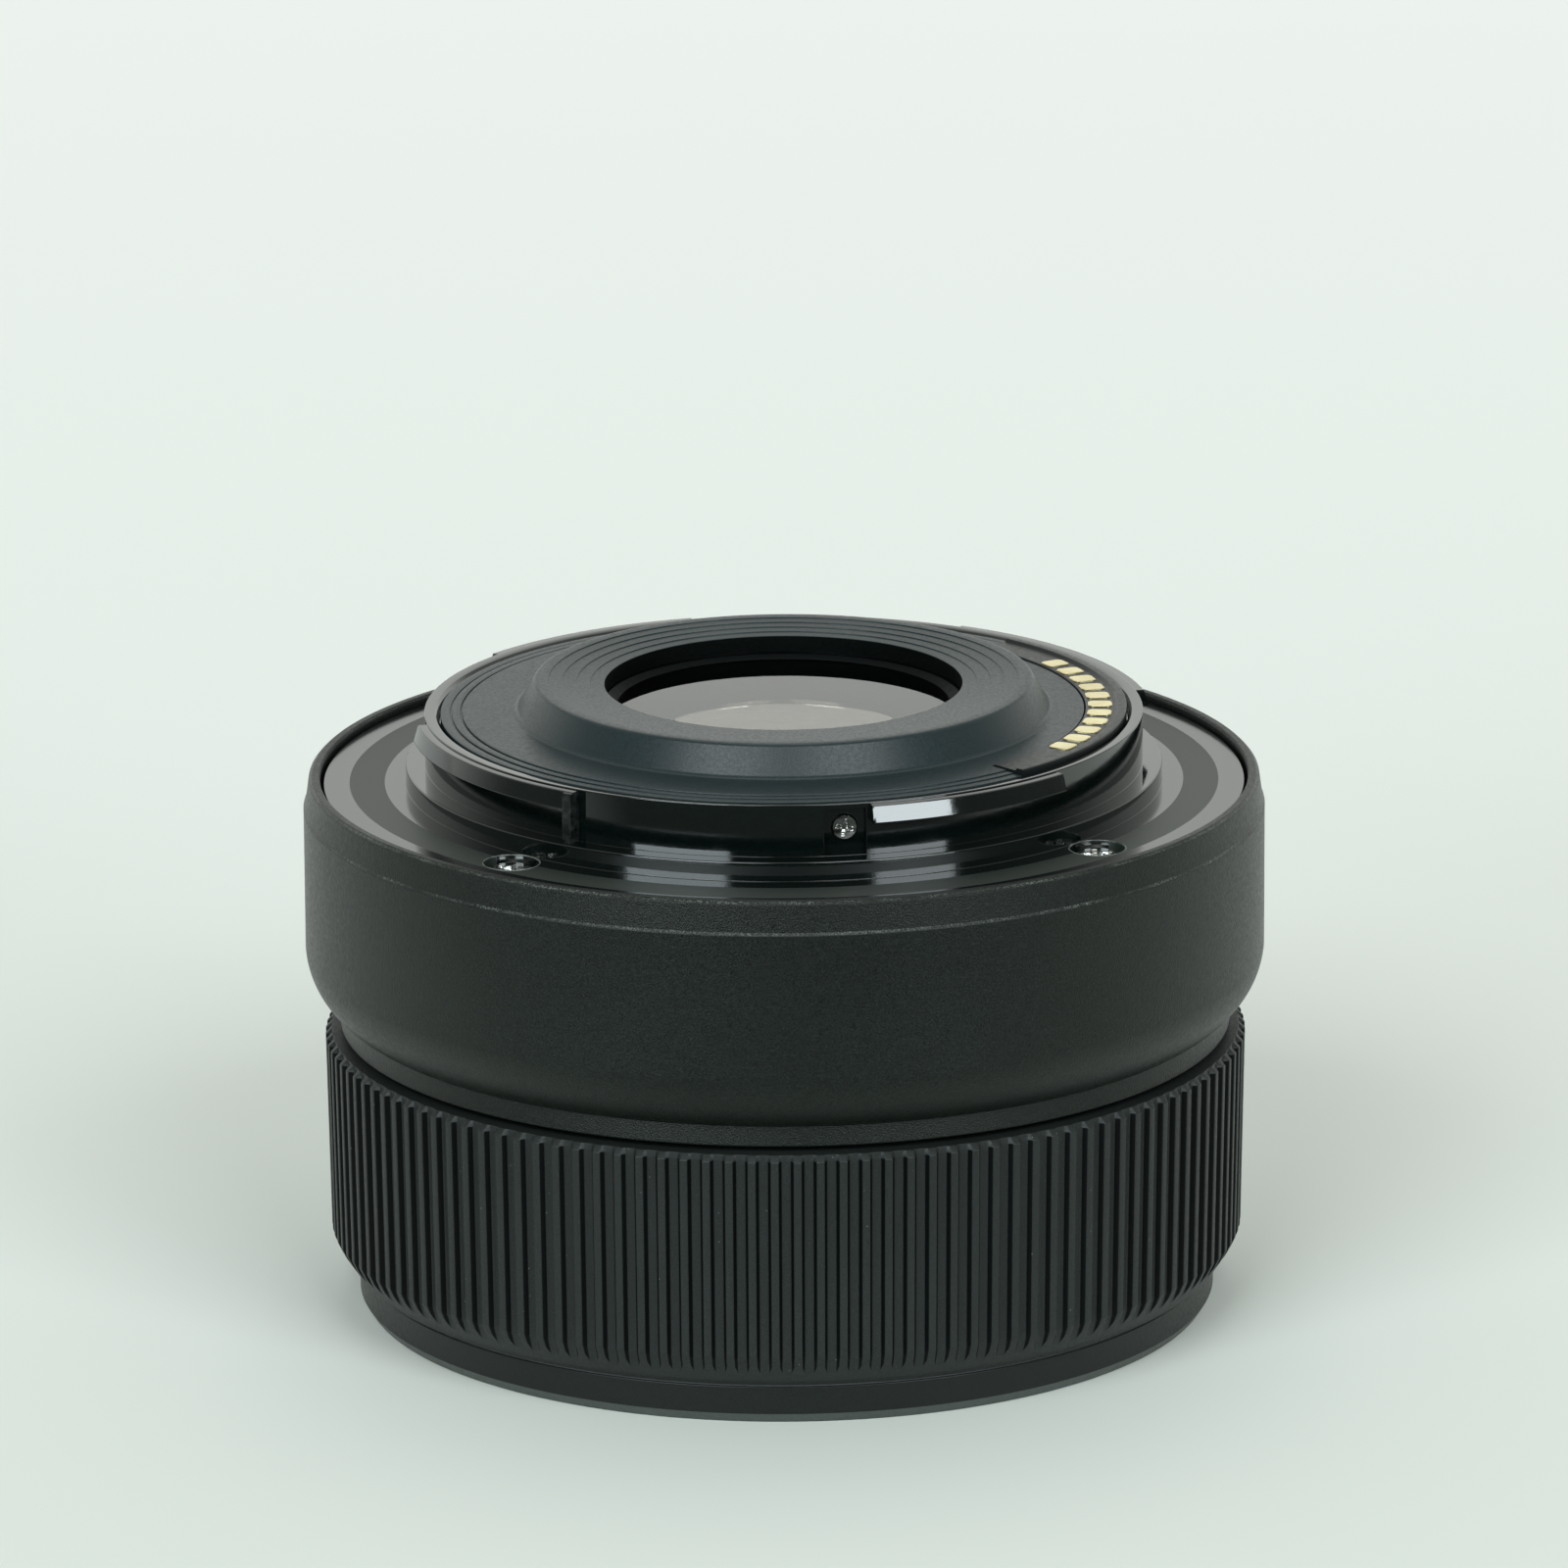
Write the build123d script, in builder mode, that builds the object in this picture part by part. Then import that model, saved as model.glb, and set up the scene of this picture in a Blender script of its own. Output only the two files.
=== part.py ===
from build123d import *
import os
from math import copysign, cos, pi, radians, sin, sqrt

# Prime camera lens, standing on its front rim. Millimetres, +Z towards the camera mount.
# The origin is the centre of the front rim, and the optical axis is Z.
# Azimuths are degrees from -Y, growing towards +X.

# ---------------------------------------------------------------- driving sizes
# outer barrel, from the front rim up
front_ring_inset = 0.25
front_ring_height = 2.8
front_chamfer = 0.5
front_chamfer_height = 0.78
front_rim_width = 1.0
fascia_depth = 0.8
ring_gap = 0.2
grip_draft = 0.25
grip_height = 17.6
grip_top_chamfer = 0.45
grip_foot_height = 2.6
grip_foot_inset = 1.75
grip_wall = 2.35
rib_count = 130
groove_share = 0.676
groove_depth = 0.47
groove_wall_lean = 0.24
groove_foot = 1.2
groove_foot_inset = 0.5
groove_bend = 0.3
neck_gap = 0.4
neck_inset = 1.1
neck_draft = 0.2
neck_height = 1.45
casing_step = 1.35
taper_height = 4.35
wall_height = 10.45
shoulder_bevel = 0.12
shoulder_draft = 0.3
shoulder_height = 2.35
rim_bevel = 0.25
rim_width = 0.5
rim_lip = 0.08
rim_proud = 0.6
casing_wall = 1.4
casing_ledge = 1.5
floor_gap = 0.4
floor_height = 0.6
running_fit = 0.05
seat_clearance = 0.1

# bayonet mount
flange_gap = 0.25
flange_thickness = 1.7
spigot_gap = 0.05
spigot_height = 1.4
bayonet_step = 1.4
bayonet_height = 5.2
bayonet_wall = 1.05
bayonet_mouth_chamfer = 0.25
ledge_width = 0.85
ledge_thickness = 1.4
ledge_depth = 0.9
lug_reach = 1.0
lug_thickness = 1.25
lug_arcs = [(-81.5, 47.5), (13.5, 34.5), (100.0, 50.0), (195.0, 38.5)]
stop_width = 3.0
mount_screw_margin = 0.9
mount_screw_first = -41.0
mount_screw_count = 4
mount_screw_head_radius = 1.7
mount_screw_head_height = 0.6
mount_screw_sink = 0.2
mount_screw_radius = 0.8
counterbore_radius = 1.95
side_screw_azimuths = [9.5, 189.5]
side_screw_head_radius = 0.95
side_screw_head_height = 0.4
side_screw_radius = 0.45
side_screw_drop = 1.8
side_pocket = 3.0
side_pocket_depth = 0.55
index_dot_azimuth = 150.0
index_dot_radius = 0.9
index_dot_drop = 3.0
index_dot_sink = 0.15

# electrical contacts
contact_count = 11
contact_pitch = 5.9
contact_inset = 2.05
contact_length = 1.75
contact_width = 1.6
contact_proud = 0.08
block_azimuth = 90.0
block_span = 94.0
block_width = 3.1
block_gap = 0.12
block_depth = 2.6
block_lip_width = 0.6
block_lip_height = 0.2
block_below_mount = 0.1
flex_thickness = 0.15
flex_width = 12.0

# rear baffle
baffle_height = 7.45
baffle_overhang = 2.65
baffle_edge_round = 0.5
baffle_dish = 0.4
baffle_steps = 5
baffle_mouth_gap = 0.1
baffle_slope = 1.3
baffle_plate_inset = 1.7
baffle_plate_drop = 0.1
baffle_groove_width = 0.15
baffle_groove_depth = 0.2
baffle_band_width = 0.6
baffle_wall = 0.9

# front end
bezel_seat = 2.0
thread_length = 2.5
sleeve_wall = 1.7
carrier_wall = 1.25
bezel_thickness = 1.1
bezel_steps = 7
bezel_step_depth = 0.12
washer_thickness = 0.3

# main frame
frame_wall = 1.2
frame_foot_width = 2.4
frame_ledge_width = 5.2
frame_ledge_thickness = 1.2
shelf_height = 14.3
shelf_thickness = 1.2
shelf_bore_inset = 2.8
frame_screw_inset = 1.1
frame_screw_count = 4
frame_screw_first = 20.0
frame_screw_radius = 0.6
frame_screw_head_radius = 0.95
frame_screw_head_height = 0.7
frame_screw_bite = 1.6
cell_screw_inset = 3.9
cell_screw_count = 3
cell_screw_first = 65.0
cell_screw_radius = 0.5
cell_screw_head_radius = 0.85
cell_screw_head_height = 0.5
cell_screw_bite = 1.0

# glass: edge radius, then height of each vertex, radius of curvature and clear radius
# heights are from the seat of the group's cell: front cell, shelf, rear cell
# a positive curvature bends the surface towards the mount at its edge
# the step is how far the rear glass stands proud of the seat under its retaining ring
glass_clearance = 0.02
lens_1 = dict(edge=14.6, front=(1.2, 80.0, 14.0), rear=(3.0, 24.0, 11.0))
lens_2 = dict(edge=11.8, front=(4.9, 30.0, 11.0), rear=(8.9, -90.0, 11.0))
lens_3 = dict(edge=10.4, front=(9.5, 60.0, 9.8), rear=(12.43, -45.0, 10.4))
lens_4 = dict(edge=10.4, front=(12.43, -45.0, 10.4), rear=(13.1, 70.0, 9.0))
lens_5 = dict(edge=9.2, front=(6.6, -45.0, 8.2), rear=(7.6, -60.0, 8.2))
lens_6 = dict(edge=9.8, front=(8.1, 50.0, 9.0), rear=(11.4, -30.0, 9.0))
lens_7 = dict(edge=10.6, front=(0.5, -50.0, 9.6), rear=(1.5, 80.0, 9.6))
lens_8 = dict(edge=11.4, front=(2.4, 120.0, 10.6), rear=(3.8, 300.0, 10.6))
lens_9 = dict(edge=12.9, front=(4.5, 1000.0, 7.8), rear=(10.28, -600.0, 12.05))
rear_glass_step = 1.05
cell_wall = 2.4
cell_lip = 0.8
front_cell_tail = 1.8
retainer_thread_wall = 0.45
retainer_height = 1.2
rear_cell_wall = 2.1
rear_cell_flange_margin = 1.0
rear_cell_flange_thickness = 1.4
rear_cell_nose = 0.6

# iris
blade_count = 7
blade_thickness = 0.08
blade_pitch = 0.12
blade_inner_radius = 7.4
blade_outer_radius = 11.6
blade_span = 100.0
blade_tail = 8.0
blade_swing = 27.0
pivot_margin = 1.4
pin_radius = 0.5
pin_clearance = 0.06
lever_length = 3.0
lever_radius = 0.9
iris_base_margin = 2.4
iris_base_thickness = 1.2
iris_clear_radius = 7.6
ring_bore_margin = 0.8
ring_rim_margin = 1.6
iris_ring_thickness = 0.7
iris_air = 0.1
iris_cover_thickness = 0.8
iris_cover_skirt = 1.1
collar_wall = 1.3
slot_clearance = 0.12
gear_module = 0.4
sector_inset = 1.0
sector_shown = 7
pinion_teeth = 10
tooth_backlash = 0.12
iris_drive_angle = 300.0
iris_motor_radius = 3.0
iris_motor_height = 9.6
pinion_shaft_radius = 0.5
pinion_shaft_length = 5.0
iris_screw_radius = 0.35
iris_screw_head_radius = 0.5
iris_screw_head_height = 0.3
iris_screw_count = 3

# focus drive
focus_travel = 2.4
rod_radius = 0.8
rod_inset = 3.0
rod_seat = 1.0
sleeve_boss_radius = 1.9
sleeve_boss_length = 7.0
sleeve_boss_drop = 0.2
arm_width = 3.0
arm_thickness = 2.4
arm_overrun = 1.5
drive_angle = 215.0
focus_motor_radius = 3.3
motor_gap = 0.2
focus_motor_height = 7.6
lead_screw_radius = 0.9
bracket_thickness = 0.6
bracket_width = 4.0
nut_height = 1.8
nut_width = 3.6
nut_depth = 4.0
nut_lift = 4.4
flag_thickness = 0.6
flag_height = 2.0
sensor_width = 5.0
sensor_slot = 1.6
sensor_angle = 90.0

# electronics and ring encoder
board_thickness = 0.8
board_bore_gap = 1.55
board_edge_gap = 0.4
board_lift = 0.4
board_screw_inset = 5.7
board_screw_radius = 0.5
board_screw_head_radius = 0.9
board_screw_head_height = 0.4
board_screw_count = 3
board_screw_first = 150.0
board_pad_radius = 1.6
chip_height = 0.9
chip_inset = 5.85
connector_depth = 1.6
chip_places = [(0, 5.0, 4.5), (54, 3.0, 4.0), (124, 3.4, 3.6), (190, 4.6, 4.4), (225, 3.0, 3.6),
               (310, 5.0, 4.0), (338, 2.6, 2.6)]
comb_height = 1.5
comb_wall = 0.4
comb_slots = 90
comb_slot_share = 0.5
comb_gap = 0.3
ring_sensor_width = 5.0
ring_sensor_height = 4.0
ring_sensor_angle = 60.0

# ---------------------------------------------------------------- derived radii, from the iris out
pivot_circle = blade_outer_radius + pivot_margin
drive_pin_circle = pivot_circle + lever_length
iris_ring_bore = pivot_circle + ring_bore_margin
iris_ring_radius = drive_pin_circle + ring_rim_margin
iris_base_radius = iris_ring_radius + iris_base_margin
sector_teeth = round(2 * (iris_base_radius - sector_inset) / gear_module)
drive_circle = iris_base_radius + motor_gap + focus_motor_radius
frame_bore = drive_circle + focus_motor_radius + motor_gap
frame_radius = frame_bore + frame_wall
shelf_bore = iris_base_radius - shelf_bore_inset
rod_circle = frame_bore - rod_inset
frame_screw_circle = frame_bore - frame_screw_inset
cell_screw_circle = frame_bore - cell_screw_inset
thread_radius = frame_bore - frame_foot_width - bezel_seat
sleeve_bore = frame_radius + seat_clearance
sleeve_radius = sleeve_bore + sleeve_wall
carrier_bore = sleeve_radius + running_fit
grip_bore = carrier_bore + carrier_wall
grip_radius_top = grip_bore + grip_wall
grip_radius_foot = grip_radius_top - grip_draft
front_ring_radius = grip_radius_foot - grip_foot_inset - front_ring_inset
front_rim_radius = front_ring_radius - front_chamfer
neck_radius = grip_radius_top - neck_inset
casing_radius = grip_radius_top + casing_step
casing_inner = casing_radius - casing_wall
shoulder_top_radius = casing_radius - shoulder_bevel - shoulder_draft
rim_inner = shoulder_top_radius - rim_bevel - rim_width
casing_bore = rim_inner - rim_lip
flange_radius = casing_bore - flange_gap
board_radius = frame_radius
casing_ledge_bore = board_radius + board_edge_gap
mount_screw_circle = casing_ledge_bore + mount_screw_margin
spigot_radius = mount_screw_circle - counterbore_radius - spigot_gap
bayonet_radius = spigot_radius - bayonet_step
bayonet_bore = bayonet_radius - bayonet_wall
contact_circle = bayonet_bore - contact_inset
block_inner_radius = bayonet_bore - block_width
baffle_plate_radius = bayonet_bore - baffle_plate_inset
rear_cell_radius = lens_9["edge"] + retainer_thread_wall + rear_cell_wall
rear_cell_flange_radius = mount_screw_circle + rear_cell_flange_margin
baffle_mouth = lens_9["edge"] + baffle_mouth_gap
baffle_radius = rear_cell_radius + baffle_overhang
baffle_foot_radius = baffle_radius + baffle_slope
board_bore = rear_cell_radius + board_bore_gap
board_screw_circle = board_radius - board_screw_inset
chip_inner_radius = bayonet_bore - chip_inset

# ---------------------------------------------------------------- derived heights
grip_z = front_ring_height + ring_gap
grip_top = grip_z + grip_height
neck_z = grip_top + neck_gap
taper_z = neck_z + neck_height
wall_z = taper_z + taper_height
shoulder_z = wall_z + wall_height
casing_top = shoulder_z + shoulder_height
flange_z = casing_top - rim_proud
mount_seat_z = flange_z - flange_thickness
spigot_z = flange_z + spigot_height
bayonet_z = flange_z + bayonet_height
ledge_z = bayonet_z - ledge_depth
baffle_top = flange_z + baffle_height
thread_z = fascia_depth + thread_length
shelf_z = thread_z + shelf_height
shelf_top = shelf_z + shelf_thickness
flange_top_z = mount_seat_z - casing_ledge
frame_top = flange_top_z - rear_cell_flange_thickness
cell_flange_z = thread_z + bezel_thickness
cell_flange_top = cell_flange_z + frame_ledge_thickness
iris_floor = shelf_top + iris_base_thickness
blade_stack = blade_pitch * blade_count
ring_floor = iris_floor + blade_stack + iris_air + running_fit
cover_floor = ring_floor + iris_ring_thickness + iris_air
cover_top = cover_floor + iris_cover_thickness
sector_pitch_radius = gear_module * sector_teeth / 2
pinion_pitch_radius = gear_module * pinion_teeth / 2
drive_offset = sector_pitch_radius + pinion_pitch_radius
board_z = flange_top_z + board_lift
board_top = board_z + board_thickness


# ---------------------------------------------------------------- helpers
def upright(azimuth):
    """The plane through the axis at an azimuth, with radius along its x and height along its y."""
    turn = radians(azimuth - 90)
    return Plane(origin=(0, 0, 0), x_dir=(cos(turn), sin(turn), 0), z_dir=(sin(turn), -cos(turn), 0))


def place(azimuth, radius):
    """The x and y of a point at an azimuth and a radius."""
    turn = radians(azimuth - 90)
    return radius * cos(turn), radius * sin(turn)


def radial_plane(azimuth, radius, height):
    """A plane that faces out along an azimuth, with its origin at a radius and a height."""
    turn = radians(azimuth - 90)
    x, y = place(azimuth, radius)
    return Plane(origin=(x, y, height), x_dir=(-sin(turn), cos(turn), 0), z_dir=(cos(turn), sin(turn), 0))


def profile(points, azimuth=90):
    """A closed outline of (radius, height) points in the upright plane at an azimuth."""
    with BuildSketch(upright(azimuth), mode=Mode.PRIVATE) as outline:
        with BuildLine():
            Polyline(*points, close=True)
        make_face()
    return outline.sketch


def box_profile(inner, outer, bottom, top):
    """The (radius, height) corners of a plain ring."""
    return [(inner, bottom), (outer, bottom), (outer, top), (inner, top)]


def disc(radius, height, centres):
    """Circles of one radius at a height, one on each centre."""
    with BuildSketch(Plane.XY.offset(height), mode=Mode.PRIVATE) as circles:
        with Locations(*centres):
            Circle(radius)
    return circles.sketch


def radial_box(azimuth, inner, outer, width, height):
    """A rectangle on a level plane that runs from one radius to another along an azimuth."""
    with BuildSketch(Plane.XY.offset(height), mode=Mode.PRIVATE) as rectangle:
        with Locations(Location(place(azimuth, (inner + outer) / 2), azimuth - 90)):
            Rectangle(outer - inner, width)
    return rectangle.sketch


def ring_of(count, circle, first):
    """Evenly spaced centres on a circle, from a first azimuth."""
    return [place(first + 360 * step / count, circle) for step in range(count)]


def sag(curvature, radius):
    """How far a spherical surface has bent at a radius."""
    return curvature - copysign(sqrt(curvature**2 - radius**2), curvature)


def seated(lens, seat):
    """A lens with its heights counted from the front rim instead of its cell's seat."""
    front, rear = [(seat + vertex, curvature, clear) for vertex, curvature, clear in (lens["front"], lens["rear"])]
    return dict(edge=lens["edge"], front=front, rear=rear)


def rim(surface):
    """The height of the flat seat round a lens surface."""
    vertex, curvature, clear = surface
    return vertex + sag(curvature, clear)


def surface_points(surface):
    """Vertex, middle and edge points of a lens surface."""
    vertex, curvature, clear = surface
    return [(r, vertex + sag(curvature, r)) for r in (0, clear / sqrt(2), clear)]


def glass(lens, step=0.0):
    """The half outline of a lens: two arcs, their flat seats and the ground edge, stepped down at the rear."""
    front, rear = surface_points(lens["front"]), surface_points(lens["rear"])
    seat = rear[-1][1] - step
    with BuildSketch(upright(90), mode=Mode.PRIVATE) as outline:
        with BuildLine():
            ThreePointArc(*front)
            Polyline(*without_repeats([front[-1], (lens["edge"], front[-1][1]), (lens["edge"], seat),
                                       (rear[-1][0], seat), rear[-1]]))
            ThreePointArc(*rear)
            Line(rear[0], front[0])
        make_face()
    return outline.sketch


def without_repeats(points):
    """The points with any that repeat the one before left out."""
    return [p for i, p in enumerate(points) if i == 0 or p != points[i - 1]]


def finish(shape, name):
    """Label a finished piece and write it as one STEP file."""
    shape.label = name
    export_step(shape, f"parts/{name}.step")


def screw_group(centres, seat, shank_radius, shank_length, head_radius, head_height):
    """Screws that point down from a level seat, with a cross recess in each head."""
    recess = head_radius * 0.62
    with BuildPart() as screws:
        extrude(disc(shank_radius, seat, centres), amount=-shank_length)
        extrude(disc(head_radius, seat, centres), amount=head_height)
        with BuildSketch(Plane.XY.offset(seat + head_height)):
            with Locations(*[Location((x, y, 0)) for x, y in centres]):
                Rectangle(2 * recess, 0.4 * recess)
                Rectangle(0.4 * recess, 2 * recess)
        extrude(amount=-head_height * 0.6, mode=Mode.SUBTRACT)
    return screws.part


# ---------------------------------------------------------------- where each lens sits
lens_1, lens_2, lens_3, lens_4 = [seated(lens, cell_flange_z) for lens in (lens_1, lens_2, lens_3, lens_4)]
lens_5, lens_6 = [seated(lens, shelf_top) for lens in (lens_5, lens_6)]
lens_7, lens_8, lens_9 = [seated(lens, frame_top) for lens in (lens_7, lens_8, lens_9)]

# ---------------------------------------------------------------- front barrel and control ring
frame_screw_seat = cell_flange_top + frame_ledge_thickness
frame_screw_spots = ring_of(frame_screw_count, frame_screw_circle, frame_screw_first)

with BuildPart() as front_barrel:
    revolve(profile([
        (thread_radius, fascia_depth), (front_rim_radius - front_rim_width, 0), (front_rim_radius, 0),
        (front_ring_radius, front_chamfer_height), (front_ring_radius, front_ring_height),
        (sleeve_radius, front_ring_height), (sleeve_radius, grip_top - neck_gap),
        (sleeve_bore, grip_top - neck_gap), (sleeve_bore, thread_z), (thread_radius, thread_z),
    ]), axis=Axis.Z)
    extrude(disc(frame_screw_radius, thread_z, frame_screw_spots), amount=-frame_screw_bite,
            mode=Mode.SUBTRACT)
finish(front_barrel.part, "front_barrel")

with BuildPart() as ring_washer:
    revolve(profile(box_profile(sleeve_radius + seat_clearance, grip_bore, front_ring_height,
                                front_ring_height + washer_thickness)), axis=Axis.Z)
finish(ring_washer.part, "ring_washer")

carrier_z = front_ring_height + washer_thickness + seat_clearance
carrier_top = grip_top - neck_gap
with BuildPart() as ring_carrier:
    revolve(profile(box_profile(carrier_bore, grip_bore, carrier_z, carrier_top)), axis=Axis.Z)
finish(ring_carrier.part, "ring_carrier")

# The grip is a drafted band. Its grooves follow the draft and end on the curve of the foot.
groove_pitch = 2 * pi * grip_radius_top / rib_count
groove_floor = groove_share * groove_pitch - 2 * groove_wall_lean
groove_foot_z = grip_z + groove_foot
groove_bend_z = grip_z + grip_foot_height - groove_bend


def groove_outline(radius, height):
    """The trapezoid across a groove on +X, at a height where the grip has a radius."""
    outer, floor = radius + groove_wall_lean, radius - groove_depth
    flare = groove_wall_lean * (outer - floor) / groove_depth
    with BuildSketch(Plane.XY.offset(height), mode=Mode.PRIVATE) as cut:
        with BuildLine():
            Polyline((floor, -groove_floor / 2), (outer, -groove_floor / 2 - flare),
                     (outer, groove_floor / 2 + flare), (floor, groove_floor / 2), close=True)
        make_face()
    return cut.sketch


with BuildPart() as groove:
    loft([groove_outline(grip_radius_foot, groove_bend_z), groove_outline(grip_radius_top, grip_top)])
    loft([groove_outline(grip_radius_foot - groove_foot_inset, groove_foot_z),
          groove_outline(grip_radius_foot, groove_bend_z)])

with BuildPart() as control_ring:
    revolve(profile([
        (grip_bore, grip_z), (grip_radius_foot - grip_foot_inset, grip_z),
        (grip_radius_foot - grip_foot_inset * 0.72, grip_z + grip_foot_height * 0.2),
        (grip_radius_foot - grip_foot_inset * 0.2, grip_z + grip_foot_height * 0.72),
        (grip_radius_foot, grip_z + grip_foot_height),
        (grip_radius_top, grip_top - grip_top_chamfer),
        (grip_radius_top - grip_top_chamfer, grip_top), (grip_bore, grip_top),
    ]), axis=Axis.Z)
    with PolarLocations(0, rib_count):
        add(groove.part, mode=Mode.SUBTRACT)
finish(control_ring.part, "control_ring")

with BuildPart() as encoder_comb:
    revolve(profile(box_profile(carrier_bore, carrier_bore + comb_wall, carrier_top,
                                carrier_top + comb_height)), axis=Axis.Z)
    slot_width = comb_slot_share * 2 * pi * carrier_bore / comb_slots
    with BuildSketch(Plane.XY.offset(carrier_top + comb_height)):
        with PolarLocations(carrier_bore + comb_wall / 2, comb_slots):
            Rectangle(3 * comb_wall, slot_width)
    extrude(amount=-comb_height * 0.7, mode=Mode.SUBTRACT)
finish(encoder_comb.part, "encoder_comb")

# ---------------------------------------------------------------- main frame
cell_screw_spots = ring_of(cell_screw_count, cell_screw_circle, cell_screw_first)
rod_spots = [place(azimuth, rod_circle) for azimuth in (270, 90)]
pinion_azimuth = iris_drive_angle + 90
pinion_spot = place(pinion_azimuth, drive_offset)

with BuildPart() as main_frame:
    revolve(profile([
        (frame_bore - frame_foot_width, thread_z), (frame_radius, thread_z), (frame_radius, frame_top),
        (frame_bore, frame_top), (frame_bore, shelf_top), (shelf_bore, shelf_top), (shelf_bore, shelf_z),
        (frame_bore, shelf_z), (frame_bore, frame_screw_seat),
        (frame_bore - frame_ledge_width, frame_screw_seat),
        (frame_bore - frame_ledge_width, cell_flange_top),
        (frame_bore - frame_foot_width, cell_flange_top),
    ]), axis=Axis.Z)
    extrude(disc(frame_screw_radius, frame_screw_seat, frame_screw_spots),
            amount=thread_z - frame_screw_seat, mode=Mode.SUBTRACT)
    extrude(disc(cell_screw_radius, cell_flange_top, cell_screw_spots), amount=cell_screw_bite,
            mode=Mode.SUBTRACT)
    extrude(disc(rod_radius, shelf_top, rod_spots), amount=-rod_seat, mode=Mode.SUBTRACT)
    extrude(disc(2 * pinion_shaft_radius, shelf_top, [pinion_spot]), amount=-shelf_thickness,
            mode=Mode.SUBTRACT)
finish(main_frame.part, "main_frame")

finish(screw_group(frame_screw_spots, frame_screw_seat, frame_screw_radius,
                   frame_screw_seat - thread_z + frame_screw_bite, frame_screw_head_radius,
                   frame_screw_head_height), "frame_screws")

# ---------------------------------------------------------------- front lens group
front_cell_radius = lens_1["edge"] + cell_wall
front_cell_top = shelf_z - seat_clearance
tail_radius = lens_3["edge"] + front_cell_tail
tail_top = rim(lens_4["rear"]) + 0.1
lip_z = rim(lens_2["rear"]) + cell_lip

with BuildPart() as front_cell:
    revolve(profile([
        (lens_1["edge"] + glass_clearance, cell_flange_z),
        (frame_bore - frame_foot_width - seat_clearance, cell_flange_z),
        (frame_bore - frame_foot_width - seat_clearance, cell_flange_top),
        (front_cell_radius, cell_flange_top), (front_cell_radius, lip_z + cell_wall),
        (tail_radius, lip_z + cell_wall), (tail_radius, tail_top),
        (lens_4["edge"] + glass_clearance, tail_top), (lens_3["edge"] + glass_clearance, rim(lens_3["front"])),
        (lens_3["front"][2], rim(lens_3["front"])), (lens_3["front"][2], lip_z),
        (lens_2["rear"][2], lip_z), (lens_2["rear"][2], rim(lens_2["rear"])),
        (lens_2["edge"] + glass_clearance, rim(lens_2["rear"])),
        (lens_2["edge"] + glass_clearance, rim(lens_1["rear"])),
        (lens_1["edge"] + glass_clearance, rim(lens_1["rear"])),
    ]), axis=Axis.Z)
    extrude(disc(cell_screw_radius, cell_flange_z, cell_screw_spots), amount=frame_ledge_thickness,
            mode=Mode.SUBTRACT)
    extrude(disc(cell_screw_head_radius, cell_flange_z, cell_screw_spots),
            amount=cell_screw_head_height, mode=Mode.SUBTRACT)
finish(front_cell.part, "front_cell")

with BuildPart() as cell_screws:
    extrude(disc(cell_screw_radius, cell_flange_z, cell_screw_spots),
            amount=frame_ledge_thickness + cell_screw_bite)
    extrude(disc(cell_screw_head_radius, cell_flange_z, cell_screw_spots), amount=cell_screw_head_height)
finish(cell_screws.part, "cell_screws")

for number, lens in enumerate((lens_1, lens_2, lens_3, lens_4), start=1):
    with BuildPart() as element:
        revolve(glass(lens), axis=Axis.Z)
    finish(element.part, f"lens_{number}")

front_retainer_bore = lens_1["front"][2]
with BuildPart() as front_retaining_ring:
    revolve(profile(box_profile(front_retainer_bore, lens_1["edge"], cell_flange_z,
                                rim(lens_1["front"]))), axis=Axis.Z)
finish(front_retaining_ring.part, "front_retaining_ring")

# The bezel steps down towards the glass, one fine light-trap ridge after another.
bezel_radius = thread_radius - seat_clearance
bezel_step = (bezel_radius - front_retainer_bore) / bezel_steps
bezel_outline = [(front_retainer_bore, cell_flange_z), (bezel_radius, cell_flange_z)]
for step in range(bezel_steps):
    outer = bezel_radius - step * bezel_step
    height = thread_z + step * bezel_step_depth
    bezel_outline += [(outer, height), (outer - bezel_step, height)]
with BuildPart() as front_bezel:
    revolve(profile(bezel_outline), axis=Axis.Z)
finish(front_bezel.part, "front_bezel")

# ---------------------------------------------------------------- iris
blade_spots = [360 * blade / blade_count for blade in range(blade_count)]
pivot_spots = [place(azimuth, pivot_circle) for azimuth in blade_spots]
drive_pin_circle = pivot_circle + lever_length
pin_run = lever_length * (1 - cos(radians(blade_swing)))
iris_screw_circle = iris_base_radius - iris_cover_skirt / 2
iris_screw_spots = ring_of(iris_screw_count, iris_screw_circle, pinion_azimuth + 60)
gear_room = pinion_pitch_radius + 2 * gear_module
sector_half = 360 / sector_teeth * (sector_shown + 4) / 2

with BuildPart() as iris_base:
    revolve(profile([
        (iris_clear_radius, iris_floor), (iris_base_radius, iris_floor), (iris_base_radius, shelf_top),
        (shelf_bore - cell_lip, shelf_top), (iris_clear_radius, iris_floor - iris_base_thickness / 2),
    ]), axis=Axis.Z)
    extrude(disc(pin_radius + pin_clearance, iris_floor, pivot_spots), amount=-iris_base_thickness * 0.7,
            mode=Mode.SUBTRACT)
    extrude(disc(gear_room, iris_floor, [pinion_spot]), amount=-iris_base_thickness, mode=Mode.SUBTRACT)
    extrude(disc(iris_screw_radius, iris_floor, iris_screw_spots), amount=-iris_base_thickness / 2,
            mode=Mode.SUBTRACT)
finish(iris_base.part, "iris_base")

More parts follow.
